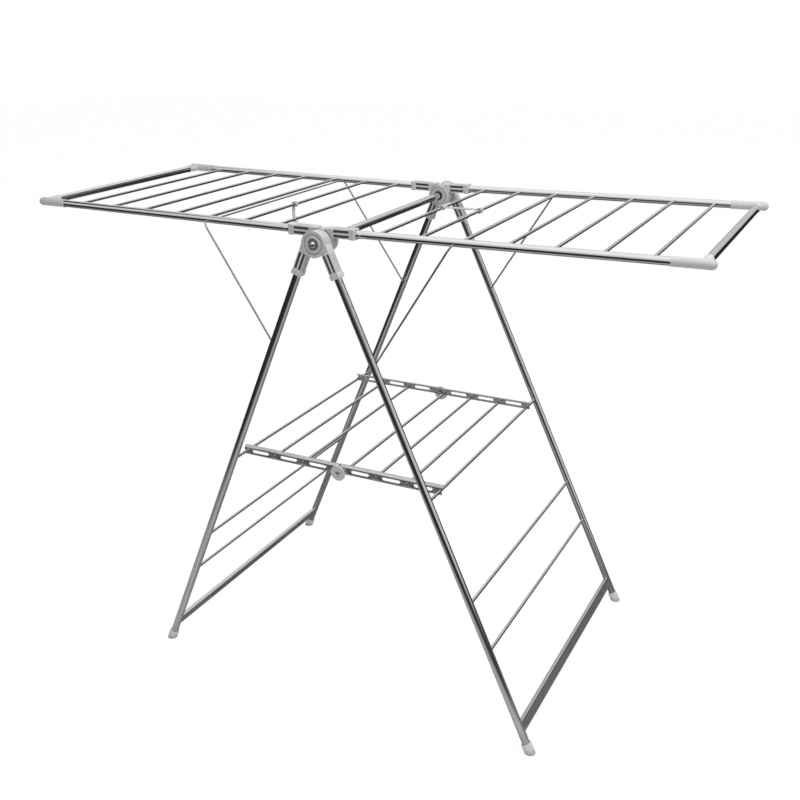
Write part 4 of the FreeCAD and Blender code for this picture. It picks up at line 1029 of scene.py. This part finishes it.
def lock_ring(place):
    """The ring round the rod it swings on, its own axis along the rod."""
    half = LOCK_WIDTH / 2
    profile = [(RING_BORE, -half), (LOCK_RADIUS, -half), (LOCK_RADIUS, half), (RING_BORE, half)]
    return lathe(softened(profile, 0.7 * MM), place, columns=40)


def lock_hook(place, low, high):
    """A C whose rounded section is swept between two angles round its own Z axis."""
    across, high_side = rounded_section(LOCK_RADIUS - HOOK_BORE, LOCK_WIDTH, 0.8 * MM, 4)
    radius = (LOCK_RADIUS + HOOK_BORE) / 2 + across
    turn = np.radians(np.linspace(low, high, 25))[:, None]
    rows = np.stack([radius * np.cos(turn), radius * np.sin(turn), high_side + 0 * turn], -1)
    middle = rows.mean(1, keepdims=True)
    ends = (middle + (rows - middle) * 0.75)[[0, -1]]
    return woven(np.concatenate([ends[:1], rows, ends[1:]]), False, place)


def lock_bar(length, place):
    """A straight bar along its own Z, rounded in section, its ends drawn in."""
    x, y = rounded_section(LOCK_THICK - 0.4 * MM, LOCK_WIDTH, 1.0 * MM, 5)
    z = np.array([0, 0.3, 0.3, 1 - 0.3, 1 - 0.3, 1])[:, None] * length
    scale = np.array([0.85, 1, 1, 1, 1, 0.85])[:, None]
    rows = np.stack([x * scale, y * scale, z + 0 * x], axis=-1)
    return woven(rows, False, place)


ring_x, hook_x = ROD_PLACES[1], ROD_PLACES[0]
strap_place = WING_PLACES["right"] @ lying("Z", (0, STRAP_Y, WING_OFFSET))
strap_bar_z = LOCK_THICK / 2 + 0.2 * MM
bar_turn = np.array([[0, 0, 1, hook_x + 4.6 * MM], [0, 1, 0, 0], [-1, 0, 0, strap_bar_z],
                     [0, 0, 0, 1.0]])
strap = [lock_ring(strap_place @ lying("Y", (ring_x, 0, 0))),
         lock_hook(strap_place @ lying("Y", (hook_x, 0, 0)), -130, 130),
         lock_bar(ring_x - hook_x - 9.2 * MM, strap_place @ bar_turn)]
piece("right_lock_strap_moulding", strap, lock_grey, "right_strap", "lock_plastic",
      "right_lock_strap")
catch_at = carried(WING_PLACES["left"], np.array([ROD_PLACES[1], CATCH_Y, WING_OFFSET]))
catch_place = lying("Z", catch_at)
bar_x = -LOCK_RADIUS + LOCK_THICK / 2 - 0.2 * MM
catch = [lock_ring(catch_place @ lying("Y", (0, 0, 0))),
         lock_hook(catch_place @ lying("Y", (0, 0, -CATCH_LENGTH)), 130, 410),
         lock_bar(CATCH_LENGTH, catch_place @ lying("Z", (bar_x, 0, -CATCH_LENGTH)))]
piece("left_lock_catch_moulding", catch, lock_grey, "left_catch", "lock_plastic",
      "left_lock_catch")

# ---------------------------------------------------------------- studio and camera
# A plain pale floor under a soft overhead dome. Dark screens stand behind, in front and at
# two bearings beside the airer, and draw the black lines along its polished tubes.
FLOOR_HALF = 12.0
floor_mesh = bpy.data.meshes.new("floor")
floor_mesh.from_pydata([(-FLOOR_HALF, -FLOOR_HALF, 0), (FLOOR_HALF, -FLOOR_HALF, 0),
                        (FLOOR_HALF, FLOOR_HALF, 0), (-FLOOR_HALF, FLOOR_HALF, 0)], [],
                       [(0, 1, 2, 3)])
floor = bpy.data.objects.new("floor", floor_mesh)
bpy.context.scene.collection.objects.link(floor)
pale = bpy.data.materials.new("pale floor")
pale.use_nodes = True
tree = pale.node_tree
matt_floor = tree.nodes["Principled BSDF"]
place = add(tree, "ShaderNodeTexCoord").outputs["Object"]
squeezed = add(tree, "ShaderNodeMapping", {"Vector": place, "Scale": (0.35, 1, 1)}).outputs[0]
far = add(tree, "ShaderNodeVectorMath", {0: squeezed}, operation="LENGTH").outputs["Value"]
spread = add(tree, "ShaderNodeMapRange", {"Value": far, "From Min": 0.6, "From Max": 1.3,
                                          "To Min": 0.0, "To Max": 1.0}).outputs[0]
paper = noise(tree, place, (40, 40, 40), 4.0)
# painted reflection: glossy rays see the floor mottled grey with dark blotches, darker under and behind the
# airer and near black far off, while other rays see it pale
near_tone = mixed(tree, paper, (0.50, 0.50, 0.50, 1), (0.56, 0.56, 0.56, 1))
near_tone = mixed(tree, noise(tree, place, (7, 7, 7), 5.0), (0.03, 0.03, 0.03, 1), near_tone)
depth = add(tree, "ShaderNodeSeparateXYZ", {0: place}).outputs["Y"]
behind = add(tree, "ShaderNodeMapRange", {"Value": depth, "From Min": -0.45, "From Max": -0.10,
                                          "To Min": 0.0, "To Max": 0.62}).outputs[0]
near_tone = mixed(tree, behind, near_tone, (0.03, 0.03, 0.03, 1))
painted_reflection_tone = mixed(tree, spread, near_tone, (0.015, 0.015, 0.015, 1))
seen_tone = mixed(tree, paper, (0.90, 0.90, 0.90, 1), (0.92, 0.92, 0.92, 1))
ray = add(tree, "ShaderNodeLightPath")
tree.links.new(mixed(tree, ray.outputs["Is Glossy Ray"], seen_tone, painted_reflection_tone),
               matt_floor.inputs["Base Color"])
matt_floor.inputs["Roughness"].default_value = 0.9
matt_floor.inputs["Specular IOR Level"].default_value = 0.1
washed = add(tree, "ShaderNodeEmission", {"Color": (1, 1, 1, 1), "Strength": 1.0})
share = worked(tree, "MULTIPLY", ray.outputs["Is Camera Ray"], 0.93)
burnt_out = add(tree, "ShaderNodeMixShader", {0: share, 1: matt_floor.outputs[0],
                                              2: washed.outputs[0]})
tree.links.new(burnt_out.outputs[0], tree.nodes["Material Output"].inputs["Surface"])
floor_mesh.materials.append(pale)


def ramp(tree, value, low, high, start, end):
    """A value carried from one range to another and held at its ends, without a kink."""
    return add(tree, "ShaderNodeMapRange", {"Value": value, "From Min": low, "From Max": high,
                                            "To Min": start, "To Max": end},
               interpolation_type="SMOOTHSTEP").outputs[0]


world = bpy.data.worlds.new("studio")
bpy.context.scene.world = world
world.use_nodes = True
tree = world.node_tree
direction = add(tree, "ShaderNodeTexCoord").outputs["Generated"]
x, y, height = add(tree, "ShaderNodeSeparateXYZ", {0: direction}).outputs[:]
lit = worked(tree, "ADD", ramp(tree, height, 0.0, 0.07, 0.01, 0.62),
             ramp(tree, height, 0.3, 0.9, 0.0, 0.40))
level = add(tree, "ShaderNodeVectorMath", {0: add(tree, "ShaderNodeCombineXYZ",
                                                  {0: x, 1: y}).outputs[0]},
            operation="NORMALIZE").outputs["Vector"]
screens = (((0.49, -0.87, 0), 0.86, 0.30, 0.45), ((0.588, 0.809, 0), 0.982, 0.01, 0.75),
           ((0.50, 0.866, 0), 0.95, 0.03, 0.12), ((-0.998, -0.07, 0), 0.91, 0.02, 0.80))
for bearing, half_width, darkest, top in screens:
    toward = add(tree, "ShaderNodeVectorMath", {0: level, 1: bearing},
                 operation="DOT_PRODUCT").outputs["Value"]
    across = ramp(tree, toward, half_width - 0.03, half_width + 0.03, 0.0, 1.0)
    below = ramp(tree, height, top - 0.08, top + 0.08, 1.0, 0.0)
    hidden = worked(tree, "MULTIPLY", worked(tree, "MULTIPLY", across, below), 1 - darkest)
    lit = worked(tree, "MULTIPLY", lit, worked(tree, "SUBTRACT", 1.0, hidden))
ray = add(tree, "ShaderNodeLightPath")
softened_room = worked(tree, "MULTIPLY_ADD", ray.outputs["Is Diffuse Ray"], 0.25, lit)
studio = tree.nodes["Background"]
tree.links.new(softened_room, studio.inputs["Color"])
studio.inputs["Strength"].default_value = 1.0
backdrop = add(tree, "ShaderNodeBackground", {"Color": (1, 1, 1, 1), "Strength": 1.0})
choice = add(tree, "ShaderNodeMixShader", {0: ray.outputs["Is Camera Ray"], 1: studio.outputs[0],
                                           2: backdrop.outputs[0]})
tree.links.new(choice.outputs[0], tree.nodes["World Output"].inputs["Surface"])

lamp = bpy.data.lights.new("overhead softbox", "AREA")
lamp.energy, lamp.shape, lamp.size, lamp.size_y = 70, "RECTANGLE", 1.6, 1.0
softbox = bpy.data.objects.new("overhead softbox", lamp)
softbox.location = (1.2, -0.5, 3.0)
softbox.visible_glossy = False
softbox.rotation_euler = (Vector((0, 0, 0.7)) - softbox.location).to_track_quat("-Z", "Y").to_euler()
bpy.context.scene.collection.objects.link(softbox)

yaw, pitch, roll = math.radians(26.615), math.radians(13.090), math.radians(-0.968)
ahead = Vector((-math.sin(yaw) * math.cos(pitch), math.cos(yaw) * math.cos(pitch), -math.sin(pitch)))
right = Vector((math.cos(yaw), math.sin(yaw), 0))
up = right.cross(ahead)
right, up = right * math.cos(roll) + up * math.sin(roll), up * math.cos(roll) - right * math.sin(roll)
camera = bpy.data.objects.new("camera", bpy.data.cameras.new("camera"))
bpy.context.scene.collection.objects.link(camera)
stand = Matrix((right, up, -ahead)).transposed().to_4x4()
stand.translation = (1.07696, -1.93310, 1.45566)
camera.matrix_world = stand
camera.data.lens = 45.915
camera.data.shift_x, camera.data.shift_y = -0.04079, -0.19992
bpy.context.scene.camera = camera
bpy.context.scene.view_settings.view_transform = "Standard"
